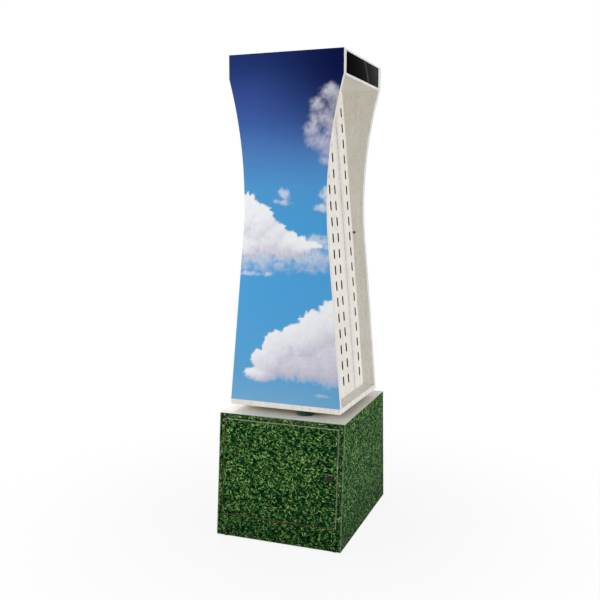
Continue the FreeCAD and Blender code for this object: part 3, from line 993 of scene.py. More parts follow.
def make_piece(name: str, surface: Surface, palette: dict, body: str, slot: str,
               *replaces: str) -> bpy.types.Object:
    """Make an object of a surface, dress it and let it ride on a body.

    Args:
        name: Name of the piece.
        surface: Its points, faces and marks.
        palette: Every finish by its slot.
        body: CAD body that it moves with.
        slot: The record's material slot, which gives its finish.
        replaces: CAD nodes that it stands for.

    Returns:
        The new object.
    """
    mesh = bpy.data.meshes.new(name)
    mesh.from_pydata(surface.points.tolist(), [], surface.faces)
    mesh.polygons.foreach_set("use_smooth", np.ones(len(mesh.polygons), bool))
    mesh.set_sharp_from_angle(angle=SHARP_BEND)
    for key, values in surface.marks.items():
        layer = mesh.attributes.new(key, "FLOAT", "POINT")
        layer.data.foreach_set("value", values.astype(np.float32))
    mesh.materials.append(palette[slot])
    mesh.update()
    piece = bpy.data.objects.new(name, mesh)
    bpy.context.scene.collection.objects.link(piece)
    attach(piece, body)
    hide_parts(*replaces)
    LOG.info("%s: %d points, rides on %s", name, len(mesh.vertices), body)
    return piece


def thicken(sheet: bpy.types.Object) -> None:
    """Give a printed sheet the film's thickness, behind its face.

    Args:
        sheet: The printed face.
    """
    film = sheet.modifiers.new("film", "SOLIDIFY")
    film.thickness = FILM
    film.offset = -1.0


# Clouds of the sky print

class Lattice:
    """Gradient noise on a repeating lattice of random directions."""

    def __init__(self, seed: int, size: int = 64) -> None:
        """Draw the lattice's directions.

        Args:
            seed: Start of the random draws.
            size: Number of cells each way, after which it repeats.
        """
        turn = np.random.default_rng(seed).uniform(0, 2 * math.pi, (size, size))
        self.size = size
        self.east = np.cos(turn)
        self.north = np.sin(turn)

    def single(self, x: np.ndarray, y: np.ndarray) -> np.ndarray:
        """One octave: corner gradients dotted with offsets, eased by 6t^5 - 15t^4 + 10t^3.

        Args:
            x: Places across, in cells of the lattice.
            y: Places up.

        Returns:
            The noise there, about -0.7 to 0.7.
        """
        column, row = np.floor(x).astype(int), np.floor(y).astype(int)
        fx, fy = x - column, y - row
        ex, ey = (t ** 3 * (t * (6 * t - 15) + 10) for t in (fx, fy))
        corner = {}
        for i in (0, 1):
            for j in (0, 1):
                r, c = (row + j) % self.size, (column + i) % self.size
                corner[i, j] = self.east[r, c] * (fx - i) + self.north[r, c] * (fy - j)
        low = corner[0, 0] * (1 - ex) + corner[1, 0] * ex
        high = corner[0, 1] * (1 - ex) + corner[1, 1] * ex
        return low * (1 - ey) + high * ey

    def fractal(self, x: np.ndarray, y: np.ndarray, octaves: int, gain: float = 0.5) -> np.ndarray:
        """Octaves added up, each twice as fine as the one before.

        Args:
            x: Places across, in cells of the lattice.
            y: Places up.
            octaves: How many.
            gain: Strength of each octave against the one before.

        Returns:
            The noise there, about -1 to 1.
        """
        total, strength = np.zeros_like(x), 1.0
        for i in range(octaves):
            total += strength * self.single(x * 2 ** i + 13.7 * i, y * 2 ** i + 5.3 * i)
            strength *= gain
        return total

    def billow(self, x: np.ndarray, y: np.ndarray, octaves: int, gain: float) -> np.ndarray:
        """Octaves of round puffs, each 1 - 2.6 |noise|, added up.

        Args:
            x: Places across, in cells of the lattice.
            y: Places up.
            octaves: How many.
            gain: Strength of each octave against the one before.

        Returns:
            The puffs there, about -0.5 to 0.5.
        """
        total, strength, most = np.zeros_like(x), 1.0, 0.0
        for i in range(octaves):
            crease = np.abs(self.single(x * 2 ** i + 3.1 * i, y * 2 ** i + 8.9 * i))
            total += strength * (1 - 2.6 * crease)
            most += strength
            strength *= gain
        return total / most - 0.35


@dataclass(frozen=True)
class Cloud:
    """A cloud as a heap of lobes on the sheet.

    Attributes:
        lobes: Centre across, centre height, half width and half height of each lobe, in metres.
        crisp: Width of the cloud's edge on its lit side, as a share of a lobe.
        soft: Width of the edge on its underside.
        opacity: How much of the sky it hides.
        glow: Brightness of its lit parts, about 1.
        rough: Strength of the puffs at its edge.
        wispy: Torn by plain noise instead of heaped from round puffs.
    """

    lobes: tuple
    crisp: float
    soft: float
    opacity: float
    glow: float
    rough: float
    wispy: bool = False


@dataclass(frozen=True)
class SkyPicture:
    """Where the clouds are on the sheet, and how they catch the light.

    Attributes:
        clouds: The clouds, from the back to the front.
        seed: Start of the random draws.
        sun: Direction of the light, across and up.
        puff_size: Width of the largest puffs, in metres.
        puff_gain: Strength of each finer layer of puffs against the one before.
        stir_size: Width of the slow swirls that bend the puffs.
        stir: How far they bend them.
        shade_steps: How far towards the sun the heap is compared, and how much each step counts.
        shade_octaves: How fine the puffs go in the shading.
        shade_calm: How much of the puffs counts in the shading.
        underside: How far above and below a point its side of the cloud is judged from.
        bare_light: Cloud light where there is no cloud.
    """

    clouds: tuple
    seed: int = 11
    sun: tuple = (-0.62, 0.78)
    puff_size: float = 0.040
    puff_gain: float = 0.62
    stir_size: float = 0.11
    stir: float = 0.026
    shade_steps: tuple = ((0.010, 0.40), (0.030, 0.35), (0.080, 0.30))
    shade_octaves: int = 3
    shade_calm: float = 0.45
    underside: float = 0.03
    bare_light: float = 0.7

    def mass(self, cloud: Cloud, u: np.ndarray, v: np.ndarray, octaves: int = 5,
             calm: float = 1.0) -> np.ndarray:
        """Height of the heap: the highest lobe, 1 - squared distance, plus calm * rough * puffs.

        Args:
            cloud: The cloud.
            u: Distance across, from the middle, in metres.
            v: Height above the floor, in metres.
            octaves: How fine the puffs go.
            calm: How much of the puffs counts.

        Returns:
            The height, above 0 inside the cloud.
        """
        heap = np.full(u.shape, -3.0)
        for cu, cv, ru, rv in cloud.lobes:
            heap = np.maximum(heap, 1 - np.hypot((u - cu) / ru, (v - cv) / rv) ** 2)
        lattice = Lattice(self.seed)
        warp = lattice.fractal(u / self.stir_size + 4.1, v / self.stir_size, 3) * self.stir
        texture = lattice.fractal if cloud.wispy else lattice.billow
        puffs = texture((u + warp) / self.puff_size, (v - warp) / self.puff_size, octaves, self.puff_gain)
        return heap + calm * cloud.rough * puffs

    def marks(self, u: np.ndarray, v: np.ndarray) -> dict:
        """Cloud cover and cloud light at each point of the sheet.

        The light falls with the rise of the heap towards the sun, over three distances, and with
        the depth below the cloud's own top.

        Args:
            u: Distance across, from the middle, in metres.
            v: Height above the floor, in metres.

        Returns:
            The two arrays under their attribute names.
        """
        cover = np.zeros(u.shape)
        light = np.full(u.shape, self.bare_light)
        smooth = (self.shade_octaves, self.shade_calm)
        for cloud in self.clouds:
            here = self.mass(cloud, u, v)
            level = self.mass(cloud, u, v, *smooth)
            shade = np.zeros(u.shape)
            for reach, weight in self.shade_steps:
                there = self.mass(cloud, u + self.sun[0] * reach, v + self.sun[1] * reach, *smooth)
                shade += weight * np.clip(there - level, -1.2, 1.2)
            lower = self.mass(cloud, u, v - self.underside, 2, 0.5)
            upper = self.mass(cloud, u, v + self.underside, 2, 0.5)
            lean = np.clip((lower - upper) / 0.6 + 0.5, 0, 1)
            width = cloud.soft + (cloud.crisp - cloud.soft) * lean
            edge = np.clip(here / width + 0.2, 0, 1)
            edge = edge * edge * (3 - 2 * edge) * cloud.opacity
            crest = max(lobe[1] + lobe[3] for lobe in cloud.lobes)
            foot = min(lobe[1] - lobe[3] for lobe in cloud.lobes)
            sunk = np.clip((crest - v) / (crest - foot), 0, 1)
            lit = np.clip(cloud.glow * (0.94 - 0.30 * sunk - 0.42 * shade), 0, 1)
            light = light * (1 - edge) + lit * edge
            cover = 1 - (1 - cover) * (1 - edge)
        return {"cloud_cover": cover, "cloud_light": light}


SUMMER_SKY = SkyPicture(clouds=(
    Cloud(((0.170, 1.650, 0.045, 0.035), (0.205, 1.615, 0.045, 0.060), (0.125, 1.610, 0.034, 0.030),
           (0.150, 1.560, 0.060, 0.042), (0.105, 1.525, 0.038, 0.034), (0.195, 1.530, 0.060, 0.060),
           (0.135, 1.480, 0.060, 0.036), (0.185, 1.455, 0.055, 0.055), (0.165, 1.415, 0.040, 0.020)),
          crisp=1.5, soft=2.1, opacity=0.74, glow=0.66, rough=0.62, wispy=True),
    Cloud(((0.002, 1.296, 0.026, 0.024), (-0.008, 1.268, 0.036, 0.013)),
          crisp=1.0, soft=1.5, opacity=0.60, glow=0.80, rough=1.3, wispy=True),
    Cloud(((0.165, 1.300, 0.036, 0.026), (0.200, 1.275, 0.050, 0.048), (0.150, 1.248, 0.040, 0.016)),
          crisp=0.9, soft=1.5, opacity=0.80, glow=0.72, rough=0.75, wispy=True),
    Cloud(((0.100, 1.060, 0.170, 0.050), (-0.090, 1.045, 0.140, 0.045), (0.150, 1.125, 0.085, 0.034)),
          crisp=1.3, soft=1.9, opacity=0.55, glow=0.86, rough=0.95, wispy=True),
    Cloud(((-0.160, 1.215, 0.075, 0.085), (-0.110, 1.180, 0.070, 0.085), (-0.060, 1.125, 0.085, 0.070),
           (0.000, 1.110, 0.095, 0.052), (0.060, 1.105, 0.080, 0.030), (-0.150, 1.110, 0.090, 0.050)),
          crisp=0.20, soft=1.1, opacity=0.98, glow=1.08, rough=0.68),
    Cloud(((-0.140, 1.004, 0.090, 0.009),),
          crisp=1.2, soft=1.5, opacity=0.5, glow=0.9, rough=1.3, wispy=True),
    Cloud(((0.195, 0.830, 0.075, 0.085), (0.130, 0.790, 0.085, 0.085), (0.060, 0.750, 0.085, 0.072),
           (-0.010, 0.715, 0.080, 0.078), (-0.062, 0.672, 0.072, 0.062), (-0.096, 0.624, 0.070, 0.028),
           (0.060, 0.670, 0.160, 0.060), (0.180, 0.700, 0.110, 0.100)),
          crisp=0.20, soft=1.0, opacity=0.97, glow=0.86, rough=0.68),
    Cloud(((0.160, 0.560, 0.040, 0.007),),
          crisp=1.2, soft=1.4, opacity=0.35, glow=0.8, rough=1.3, wispy=True),
))


# The tower

@dataclass(frozen=True)
class Waist:
    """The waisted outline of the tower's panels.

    A straight edge leans in from the foot, an arc tangent to it swings out to the head's corner,
    and the head's sides are upright.
    """

    half_width: float = 0.2215
    foot: float = 0.5175
    straight: float = 0.6125
    kink: float = 1.714
    top: float = 1.8

    def half(self, z: np.ndarray) -> np.ndarray:
        """Half width: w - (z - foot) tan(LEAN), then cx - sqrt(R^2 - (z - cz)^2), then w.

        Args:
            z: Heights above the floor.

        Returns:
            The half width at each height.
        """
        start = np.array([self.half_width - self.straight * math.tan(LEAN), self.foot + self.straight])
        chord = np.array([self.half_width, self.kink]) - start
        outward = np.array([math.cos(LEAN), math.sin(LEAN)])
        radius = chord @ chord / (2 * chord @ outward)
        centre = start + outward * radius
        line = self.half_width - (z - self.foot) * math.tan(LEAN)
        arc = centre[0] - np.sqrt(np.maximum(radius ** 2 - (z - centre[1]) ** 2, 0))
        return np.where(z <= start[1], line, np.where(z <= self.kink, arc, self.half_width))

    def heights(self, step: float) -> np.ndarray:
        """Heights that include the foot, the start of the arc, the kink and the top.

        Args:
            step: How far they are apart, about.

        Returns:
            The heights, rising.
        """
        stops = (self.foot, self.foot + self.straight, self.kink, self.top)
        runs = [np.linspace(a, b, max(2, int(round((b - a) / step)) + 1)) for a, b in zip(stops, stops[1:])]
        return np.unique(np.round(np.concatenate(runs), 7))


@dataclass(frozen=True)
class Tower:
    """The turning tower: printed sheets, eased panels, acrylic plates and screw caps."""

    waist: Waist = Waist()
    half_depth: float = 0.2275
    board: float = 0.018
    print_step: float = 0.004
    edge_step: float = 0.02
    ease: float = 0.0012
    plate_half: float = 0.2005
    plate: float = 0.004
    plate_ease: float = 0.0008
    plate_recess: float = 0.001
    cap_x: float = 0.12623
    cap_z: float = 1.147
    cap_radius: float = 0.0055
    cap_height: float = 0.0015

    def turned(self, half_turn: bool = False) -> Matrix:
        """The tower's rest turn, with a half turn more for what belongs to the back."""
        return Matrix.Rotation(REST_TURN + (math.pi if half_turn else 0.0), 4, "Z")

    def sky_sheet(self, picture: SkyPicture) -> Surface:
        """Printed film on the front: x = s * half(z) on a grid of s and z, with a rim and a back.

        Args:
            picture: What is printed on it.

        Returns:
            The sheet, with the picture's marks.
        """
        z = self.waist.heights(self.print_step)
        s = np.linspace(-1, 1, int(2 * self.waist.half_width / self.print_step) + 1)
        x = self.waist.half(z)[:, None] * s[None]
        high = np.repeat(z[:, None], len(s), 1)
        front = np.stack([x, np.full_like(x, -self.half_depth), high], -1)
        number = np.arange(x.size).reshape(x.shape)
        loop = np.concatenate([number[0], number[1:, -1], number[-1, -2::-1], number[-2:0:-1, 0]])
        back = front.reshape(-1, 3)[loop] + [0, FILM, 0]
        ring = x.size + np.arange(len(loop))
        faces = grid_faces(*x.shape)
        faces += np.stack([loop, ring, np.roll(ring, -1), np.roll(loop, -1)], 1).tolist()
        faces.append(ring[::-1].tolist())
        marks = picture.marks(x, high)
        marks["sheet_across"] = x / self.waist.half_width
        marks = {k: np.concatenate([m.ravel(), m.ravel()[loop]]) for k, m in marks.items()}
        return Surface(np.vstack([front.reshape(-1, 3), back]), faces, marks)

    def panel(self) -> Surface:
        """Front panel with rounded edges, under its film.

        Returns:
            A closed surface.
        """
        z = self.waist.heights(self.edge_step)
        right = np.column_stack([self.waist.half(z), z])
        outline = np.vstack([right, right[::-1] * [-1, 1]])
        slab = eased_slab(outline, self.half_depth - self.board, self.half_depth - FILM, self.ease)
        return slab.moved(Matrix(((1, 0, 0, 0), (0, 0, -1, 0), (0, 1, 0, 0), (0, 0, 0, 1))))

    def head_plate(self) -> Surface:
        """Right acrylic plate of the head with polished, rounded edges.

        Returns:
            A closed surface.
        """
        low, high = (corner[2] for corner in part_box("right_head_plate"))
        half = self.plate_half
        face = self.waist.half_width - self.plate_recess
        outline = np.array([(-half, low), (half, low), (half, high), (-half, high)])
        slab = eased_slab(outline, face - self.plate, face, self.plate_ease)
        return slab.moved(Matrix(((0, 0, 1, 0), (1, 0, 0, 0), (0, 1, 0, 0), (0, 0, 0, 1))))

    def screw_caps(self) -> Surface:
        """Four domed caps with a dimple, turned about their own axes, on the panels' inner faces.

        Returns:
            The caps as one surface.
        """
        radius, height = self.cap_radius, self.cap_height
        cap = lathe(rounded([(0.0, 0.0, 0), (radius, 0.0, 0), (radius, 0.0009, 1), (0.0040, height, 1),
                             (0.0016, height, 1), (0.0, 0.0009, 0)], 0.0006), 40)
        inner_face = self.half_depth - self.board
        places = [self.turned() @ Matrix.Translation((x, side * inner_face, self.cap_z))
                  @ Matrix.Rotation(side * math.pi / 2, 4, "X")
                  for x in (-self.cap_x, self.cap_x) for side in (-1, 1)]
        return copies(cap, places)

    def dress(self, palette: dict) -> None:
        """Make the tower's pieces.

        Args:
            palette: Every finish by its slot.
        """
        sheet = self.sky_sheet(SUMMER_SKY)
        panel = self.panel()
        plate = self.head_plate()
        for side, hand, back in (("front", "right", False), ("back", "left", True)):
            turn = self.turned(back)
            for name, surface, slot, node in (
                    (f"sky_print_{side}", sheet, "sky_print", f"sky_film_{side}"),
                    (f"eased_panel_{side}", panel, "white_lacquer", f"{side}_panel"),
                    (f"acrylic_plate_{hand}", plate, "black_gloss", f"{hand}_head_plate")):
                make_piece(name, surface.moved(turn), palette, "tower", slot, node)
        make_piece("domed_caps", self.screw_caps(), palette, "tower", "brown_cap", "panel_screw_caps")


# The cabinet

@dataclass(frozen=True)
class Cabinet:
    """The battered cabinet: its printed wrap, its feet and the glide pads on its top."""

    half_width: float = 0.247
    half_depth_top: float = 0.278
    half_depth_bottom: float = 0.316
    floor: float = 0.010
    top: float = 0.475
    corner: float = 0.0012
    opening_half: float = 0.2286
    board: float = 0.018
    rail: float = 0.062
    foot_x: float = 0.217
    foot_y: float = 0.286
    foot_radius: float = 0.015
    pad_radius: float = 0.036
    pad_circle: float = 0.195
    pad_angles: tuple = (-71.0, 49.0, 169.0)
    # Reach of the pale edge lines: partly worn film, partly a painted highlight.
    corner_wear_and_highlight: float = 0.0022
    end_wear_and_highlight: float = 0.0016

    @property
    def slope(self) -> float:
        """How far the front leans in per metre of height."""
        return (self.half_depth_bottom - self.half_depth_top) / (self.top - self.floor)

    def columns(self) -> tuple[np.ndarray, np.ndarray, np.ndarray]:
        """Places round the cabinet, from the front's left corner: half of them, then their opposites.

        Returns:
            For each place x, the share t of the half depth, and the share n of the corner's radius.
        """
        w, r, hole = self.half_width, self.corner, self.opening_half
        arc = np.linspace(0, math.pi / 2, 5)[:-1]
        near = np.array([0.0, 0.0015, 0.004, 0.008])
        span = w - r
        inner = np.linspace(-hole + 0.02, hole - 0.02, 20)
        front = np.concatenate([-span + near, [-hole, -hole + 0.004], inner, [hole - 0.004, hole],
                                span - near[::-1]])[:-1]
        share = np.concatenate([-1 + near * 3.6, np.linspace(-0.93, 0.93, 22), 1 - near[::-1] * 3.6])[:-1]
        one = np.ones_like
        x = np.concatenate([front, span + r * np.sin(arc), one(share) * w, span + r * np.cos(arc)])
        t = np.concatenate([-one(front), -one(arc), share, one(arc)])
        n = np.concatenate([-one(front), -np.cos(arc), share * 0, np.sin(arc)])
        return np.concatenate([x, -x]), np.concatenate([t, -t]), np.concatenate([n, -n])

    def wrap(self) -> Surface:
        """Film round all four sides, cut out for the door: y = t (d(z) - r) + r n, d the half depth at z.

        Returns:
            The film's face, with its worn edges and a painted highlight along them.
        """
        x, t, n = self.columns()
        rail_top = self.floor + self.board + self.rail
        opening_top = self.top - self.board
        z = np.unique(np.round(np.concatenate([
            self.floor + np.array([0.0, 0.003, 0.008]), np.linspace(self.floor + 0.02, rail_top, 4),
            np.linspace(rail_top, opening_top, 16), self.top - np.array([0.008, 0.003, 0.0])]), 7))
        depth = (self.half_depth_bottom - (z - self.floor) * self.slope)[:, None]
        y = t * (depth - self.corner) + self.corner * n
        points = np.stack([np.repeat(x[None], len(z), 0), y, np.repeat(z[:, None], len(x), 1)], -1)
        middle_z = (z[:-1] + z[1:])[:, None] / 2
        middle_x = (x + np.roll(x, -1))[None] / 2
        front = ((t < -0.999) & (np.roll(t, -1) < -0.999))[None]
        hole = front & (np.abs(middle_x) < self.opening_half)
        hole = hole & (middle_z > rail_top) & (middle_z < opening_top)
        to_corner = np.hypot(self.half_width - np.abs(points[..., 0]), depth - np.abs(points[..., 1]))
        to_end = np.minimum(z - self.floor, self.top - z)[:, None]
        # Pale lines at the vertical corners and the top and bottom ends: partly worn film, partly a painted
        # highlight.
        wear_and_highlight = 0.75 * np.exp(-(to_corner / self.corner_wear_and_highlight) ** 2)
        wear_and_highlight = wear_and_highlight + 0.35 * np.exp(-(to_end / self.end_wear_and_highlight) ** 2)
        return Surface(points.reshape(-1, 3), grid_faces(len(z), len(x), closed=True, skip=hole),
                       {"edge_wear_and_highlight": np.clip(wear_and_highlight, 0, 1).ravel()})

    def feet(self) -> Surface:
        """Four turned feet with rounded rims and a screw recess.

        Returns:
            The feet as one surface.
        """
        foot = lathe(rounded([
            (0.0, 0.004, 0), (0.0048, 0.004, 0), (0.0048, 0.0, 1), (self.foot_radius - 0.002, 0.0, 1),
            (self.foot_radius, 0.0078, 1), (self.foot_radius, self.floor, 1), (0.0, self.floor, 0)], 0.0012))
        corners = ((-1, -1), (1, -1), (1, 1), (-1, 1))
        return copies(foot, [Matrix.Translation((i * self.foot_x, j * self.foot_y, 0)) for i, j in corners])

    def glide_pads(self) -> Surface:
        """Three thick felt discs; the radius wanders by a sum of sines round the cut edge.

        Returns:
            The discs as one surface.
        """
        low, high = (corner[2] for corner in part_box("glide_pads"))
        waist = (self.pad_radius - 0.0008, (low + high) / 2, 0)
        profile = rounded([(0.0, low, 0), (self.pad_radius, low, 1), waist, (self.pad_radius, high, 1),
                           (0.0, high, 0)], 0.0035, 5)
        steps = 120
        turn = np.arange(steps) * 2 * math.pi / steps
        level = np.linspace(0, 1, len(profile) - 2)[:, None]
        wander = sum(np.sin(k * turn + k * k + 2.5 * k * level) / k for k in (5, 9, 14, 23, 37))
        pad = lathe(profile, steps, ragged=-0.0012 * np.abs(wander))
        out = Matrix.Translation((self.pad_circle, 0, 0))
        return copies(pad, [Matrix.Rotation(math.radians(a), 4, "Z") @ out for a in self.pad_angles])

    def dress(self, palette: dict) -> None:
        """Make the cabinet's pieces.

        Args:
            palette: Every finish by its slot.
        """
        films = [f"grass_film_{side}" for side in ("left", "right", "back", "front")]
        wrap = make_piece("grass_wrap", self.wrap(), palette, "base", "grass_print", *films)
        thicken(wrap)
        make_piece("turned_feet", self.feet(), palette, "base", "black_rubber", "feet")
        make_piece("felt_glides", self.glide_pads(), palette, "base", "green_felt", "glide_pads")


@dataclass(frozen=True)
class Door:
    """The inset door: its printed film, trimmed short of two edges, and the lock's housing.

    Positions on the battered front are u across, v up the slope and w outwards.
    """

    cabinet: Cabinet = Cabinet()
    half_width: float = 0.2256
    low: float = 0.083267
    high: float = 0.44549
    lock_u: float = 0.1956
    trim: float = 0.0005
    hole: float = 0.0096
    barrel: float = 0.0095
    barrel_length: float = 0.0244
    flange: float = 0.0125
    flange_height: float = 0.003
    seat: float = 0.00805
    bore: float = 0.00605

    @property
    def lock_v(self) -> float:
        """How far up the slope the lock sits."""
        return (self.low + self.high) / 2

    def on_front(self, u: float, v: float) -> Matrix:
        """Carry X, Y and Z onto u, v and w at a point of the front.

        Args:
            u: Distance across, from the middle.
            v: Distance up the slope, from the cabinet's lower edge.

        Returns:
            The 4 by 4 matrix.
        """
        batter = math.atan(self.cabinet.slope)
        s, c = math.sin(batter), math.cos(batter)
        return Matrix(((1, 0, 0, u), (0, s, -c, v * s - self.cabinet.half_depth_bottom),
                       (0, c, s, v * c + self.cabinet.floor), (0, 0, 0, 1)))

    def sheet(self) -> Surface:
        """Printed film: circle(a) (1 - s) + rim(a) s, from the lock's hole out to the trimmed rim.

        Returns:
            The film's face, with its worn edges and a painted highlight along them.
        """
        left, right = -self.half_width + 0.0002, self.half_width - 1.4 * self.trim
        bottom, top = self.low + 0.0002, self.high - self.trim
        across = np.linspace(left, right, 40)
        up = np.linspace(bottom, top, 34)
        rim = np.vstack([np.column_stack([across[:-1], np.full(39, bottom)]),
                         np.column_stack([np.full(33, right), up[:-1]]),
                         np.column_stack([across[:0:-1], np.full(39, top)]),
                         np.column_stack([np.full(33, left), up[:0:-1]])])
        centre = np.array([self.lock_u, self.lock_v])
        ray = rim - centre
        circle = centre + self.hole * ray / np.linalg.norm(ray, axis=1, keepdims=True)
        s = np.array([0, 0.004, 0.012, 0.03, 0.08, 0.2, 0.4, 0.6, 0.8, 0.93, 0.975, 0.99, 1])[:, None, None]
        flat = circle[None] * (1 - s) + rim[None] * s
        edge = np.minimum(right - flat[..., 0], top - flat[..., 1])
        points = np.concatenate([flat, np.zeros(flat.shape[:2] + (1,))], -1).reshape(-1, 3)
        faces = [face[::-1] for face in grid_faces(len(s), len(rim), closed=True)]
        # Pale line along the right and top edges: partly worn film, partly a painted highlight on the edges
        # that catch the light.
        wear_and_highlight = 0.5 * np.exp(-(edge / 0.0012) ** 2)
        return Surface(points, faces, {"edge_wear_and_highlight": wear_and_highlight.ravel()}).moved(self.on_front(0.0, 0.0))

    def housing(self) -> Surface:
        """Lock housing turned about w: barrel, rounded flange and the seat of the plug.

        Returns:
            A closed surface.
        """
        top = self.flange_height
        profile = rounded([
            (self.barrel, -self.barrel_length, 0), (self.barrel, 0.0, 0), (self.flange, 0.0, 0),
            (self.flange, top - 0.001, 1), (self.flange - 0.001, top, 1), (0.009, top, 1),
            (self.seat, 0.0022, 1), (self.seat, 0.0017, 0), (self.bore, 0.0017, 0),
            (self.bore, -self.barrel_length, 0)], 0.0007)
        return tube(profile, 72).moved(self.on_front(self.lock_u, self.lock_v))

    def dress(self, palette: dict) -> None:
        """Make the door's pieces.

        Args:
            palette: Every finish by its slot.
        """
        film = make_piece("door_print", self.sheet(), palette, "door", "grass_print", "grass_film_door")
        thicken(film)
        make_piece("lock_flange", self.housing(), palette, "door", "lock_steel", "lock_housing")


# Light, floor and camera

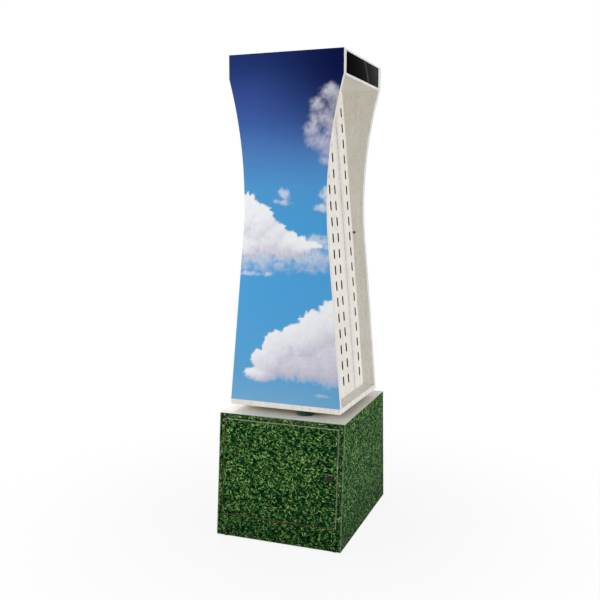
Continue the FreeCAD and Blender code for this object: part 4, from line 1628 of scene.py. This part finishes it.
@dataclass(frozen=True)
class Studio:
    """Plain soft light, a pale floor and the camera of the photograph."""

    camera_place: Triple = (1.04976, -2.95258, 1.26362)
    yaw: float = -0.35009
    pitch: float = -0.12044
    roll: float = 0.00453
    lens: float = 47.884
    sensor: float = 36.0
    view_reach: float = 60.0
    ambient: float = 0.40
    shadow: float = 0.10
    shadow_reach: tuple = (0.35, 1.5)
    floor_rings: tuple = (0.5, 1.0, 2.0, 5.0, 14.0)
    floor_steps: int = 64

    def camera(self) -> None:
        """Camera at the photograph's viewing angle."""
        data = bpy.data.cameras.new("camera")
        data.lens = self.lens
        data.sensor_width = self.sensor
        data.clip_end = self.view_reach
        ahead = Vector((math.sin(self.yaw) * math.cos(self.pitch), math.cos(self.yaw) * math.cos(self.pitch),
                        math.sin(self.pitch)))
        level = Vector((math.cos(self.yaw), -math.sin(self.yaw), 0.0))
        upright = level.cross(ahead)
        right = level * math.cos(self.roll) + upright * math.sin(self.roll)
        up = upright * math.cos(self.roll) - level * math.sin(self.roll)
        turn = Matrix((right, up, -ahead)).transposed().to_4x4()
        camera = bpy.data.objects.new("camera", data)
        camera.matrix_world = Matrix.Translation(self.camera_place) @ turn
        bpy.context.scene.collection.objects.link(camera)
        bpy.context.scene.camera = camera

    def lamp(self, name: str, place: Triple, aim: Triple, size: tuple[float, float], power: float,
             colour: Triple = (1.0, 1.0, 1.0)) -> None:
        """Soft light aimed at a point, that the camera doesn't see itself.

        Args:
            name: Name of the lamp.
            place: Where it stands.
            aim: What it points at.
            size: Width and height of its face.
            power: Watts.
            colour: Tint.
        """
        data = bpy.data.lights.new(name, "AREA")
        data.shape = "RECTANGLE"
        data.size, data.size_y = size
        data.energy = power
        data.color = colour
        lamp = bpy.data.objects.new(name, data)
        lamp.location = place
        lamp.visible_camera = False
        lamp.rotation_euler = (Vector(aim) - Vector(place)).to_track_quat("-Z", "Y").to_euler()
        bpy.context.scene.collection.objects.link(lamp)

    def seen(self, w: Wiring) -> Socket:
        """1 for rays from the camera, off gloss or through glass, else 0.

        Args:
            w: The world's or a material's wiring.

        Returns:
            That number.
        """
        path = w.add("ShaderNodeLightPath").outputs
        either = w.math("MAXIMUM", path["Is Camera Ray"], path["Is Glossy Ray"])
        return w.math("MAXIMUM", either, path["Is Transmission Ray"])

    def world(self) -> None:
        """Even light all round, and white where it is seen."""
        world = bpy.data.worlds.new("surround")
        world.use_nodes = True
        w = Wiring(world.node_tree)
        light = w.add("ShaderNodeBackground")
        w.fill(light, Color=(1, 1, 1, 1), Strength=w.fade(self.seen(w), 0.0, 1.0, self.ambient, 1.0))
        w.fill(w.add("ShaderNodeOutputWorld"), Surface=light.outputs[0])
        bpy.context.scene.world = world

    def floor_paint(self) -> bpy.types.Material:
        """Pale grey that fades to white away from the stand and keeps a light shadow near it.

        Returns:
            The material.
        """
        w = Coat("pale_floor")
        w.settings(Roughness=0.9, Specular_IOR_Level=0.1)
        colour = w.blend(w.fade(w.noise(4.0, 3.0), 0.3, 0.7), (204, 204, 204), (198, 198, 198))
        w.fill(w.shader, Base_Color=colour)
        glow = w.fill(w.add("ShaderNodeEmission"), Strength=1.0)
        x, y, _ = w.split()
        far = w.fade(w.hypot(x, y), *self.shadow_reach, 1.0 - self.shadow, 1.0)
        mixed = w.add("ShaderNodeMixShader")
        parts = (w.times(self.seen(w), far), w.shader.outputs["BSDF"], glow.outputs[0])
        for target, value in zip(mixed.inputs, parts):
            w.feed(target, value)
        w.join(mixed.outputs[0], w.output.inputs["Surface"])
        return w.material

    def floor(self) -> None:
        """Round floor: rings of points with x = r cos a, y = r sin a."""
        turn = np.arange(self.floor_steps) * 2 * math.pi / self.floor_steps
        rings = np.array(self.floor_rings)[:, None]
        points = np.stack([rings * np.cos(turn), rings * np.sin(turn), rings * 0 * turn], -1).reshape(-1, 3)
        faces = [face[::-1] for face in grid_faces(len(rings), self.floor_steps, closed=True)]
        faces.append(list(range(self.floor_steps)))
        mesh = bpy.data.meshes.new("floor")
        mesh.from_pydata(points.tolist(), [], faces)
        mesh.materials.append(self.floor_paint())
        floor = bpy.data.objects.new("floor", mesh)
        bpy.context.scene.collection.objects.link(floor)

    def dress(self) -> None:
        """Set up the whole studio."""
        bpy.context.scene.view_settings.view_transform = "Standard"
        self.camera()
        self.world()
        self.floor()
        self.lamp("key", (-3.0, -2.7, 1.35), (0.0, 0.0, 1.0), (2.2, 2.2), 108.0, (1.0, 0.99, 0.97))
        self.lamp("right", (3.4, -0.4, 1.0), (0.0, 0.0, 0.9), (1.8, 1.8), 60.0)
        self.lamp("back", (-2.2, 3.0, 1.6), (0.0, 0.0, 1.0), (2.2, 2.2), 60.0)
        self.lamp("strip", (1.05, 2.95, 2.24), (0.22, 0.0, 1.75), (0.05, 1.3), 0.8)
        LOG.info("studio is set")


def make_palette() -> dict:
    """Every finish on the stand, by the record's slot.

    Returns:
        The materials by name.
    """
    finishes = (
        Lacquer(), FloorLacquer(), SlottedLacquer(), RawBoard(), SkyPrint(), GrassPrint(), BlackAcrylic(),
        Metal(), Metal("lock_steel", MetalLook.BRONZE), Plastic(), Felt(), Beech(),
        Plastic("black_rubber", (24, 24, 25), 0.75, 0.5), Plastic("brown_cap", (84, 70, 60), 0.4, 0.2))
    return {finish.name: finish.build() for finish in finishes}


def dress_nodes(frame: dict, palette: dict) -> None:
    """Give each CAD node its own finish, or that of its slot in the record.

    Args:
        frame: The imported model.
        palette: Every finish by its slot.
    """
    slots = {row["node"]: row["material_slot"] for row in frame["record"]["subparts"]}
    for name, node in frame["nodes"].items():
        for slot in node.material_slots:
            slot.material = palette[OWN_FINISH.get(name, slots[name])]


def main() -> None:
    """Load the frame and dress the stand."""
    logging.basicConfig(level=logging.INFO, format="%(name)s: %(message)s")
    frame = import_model()
    palette = make_palette()
    dress_nodes(frame, palette)
    Tower().dress(palette)
    Cabinet().dress(palette)
    Door().dress(palette)
    Studio().dress()


if __name__ == "__main__":
    main()
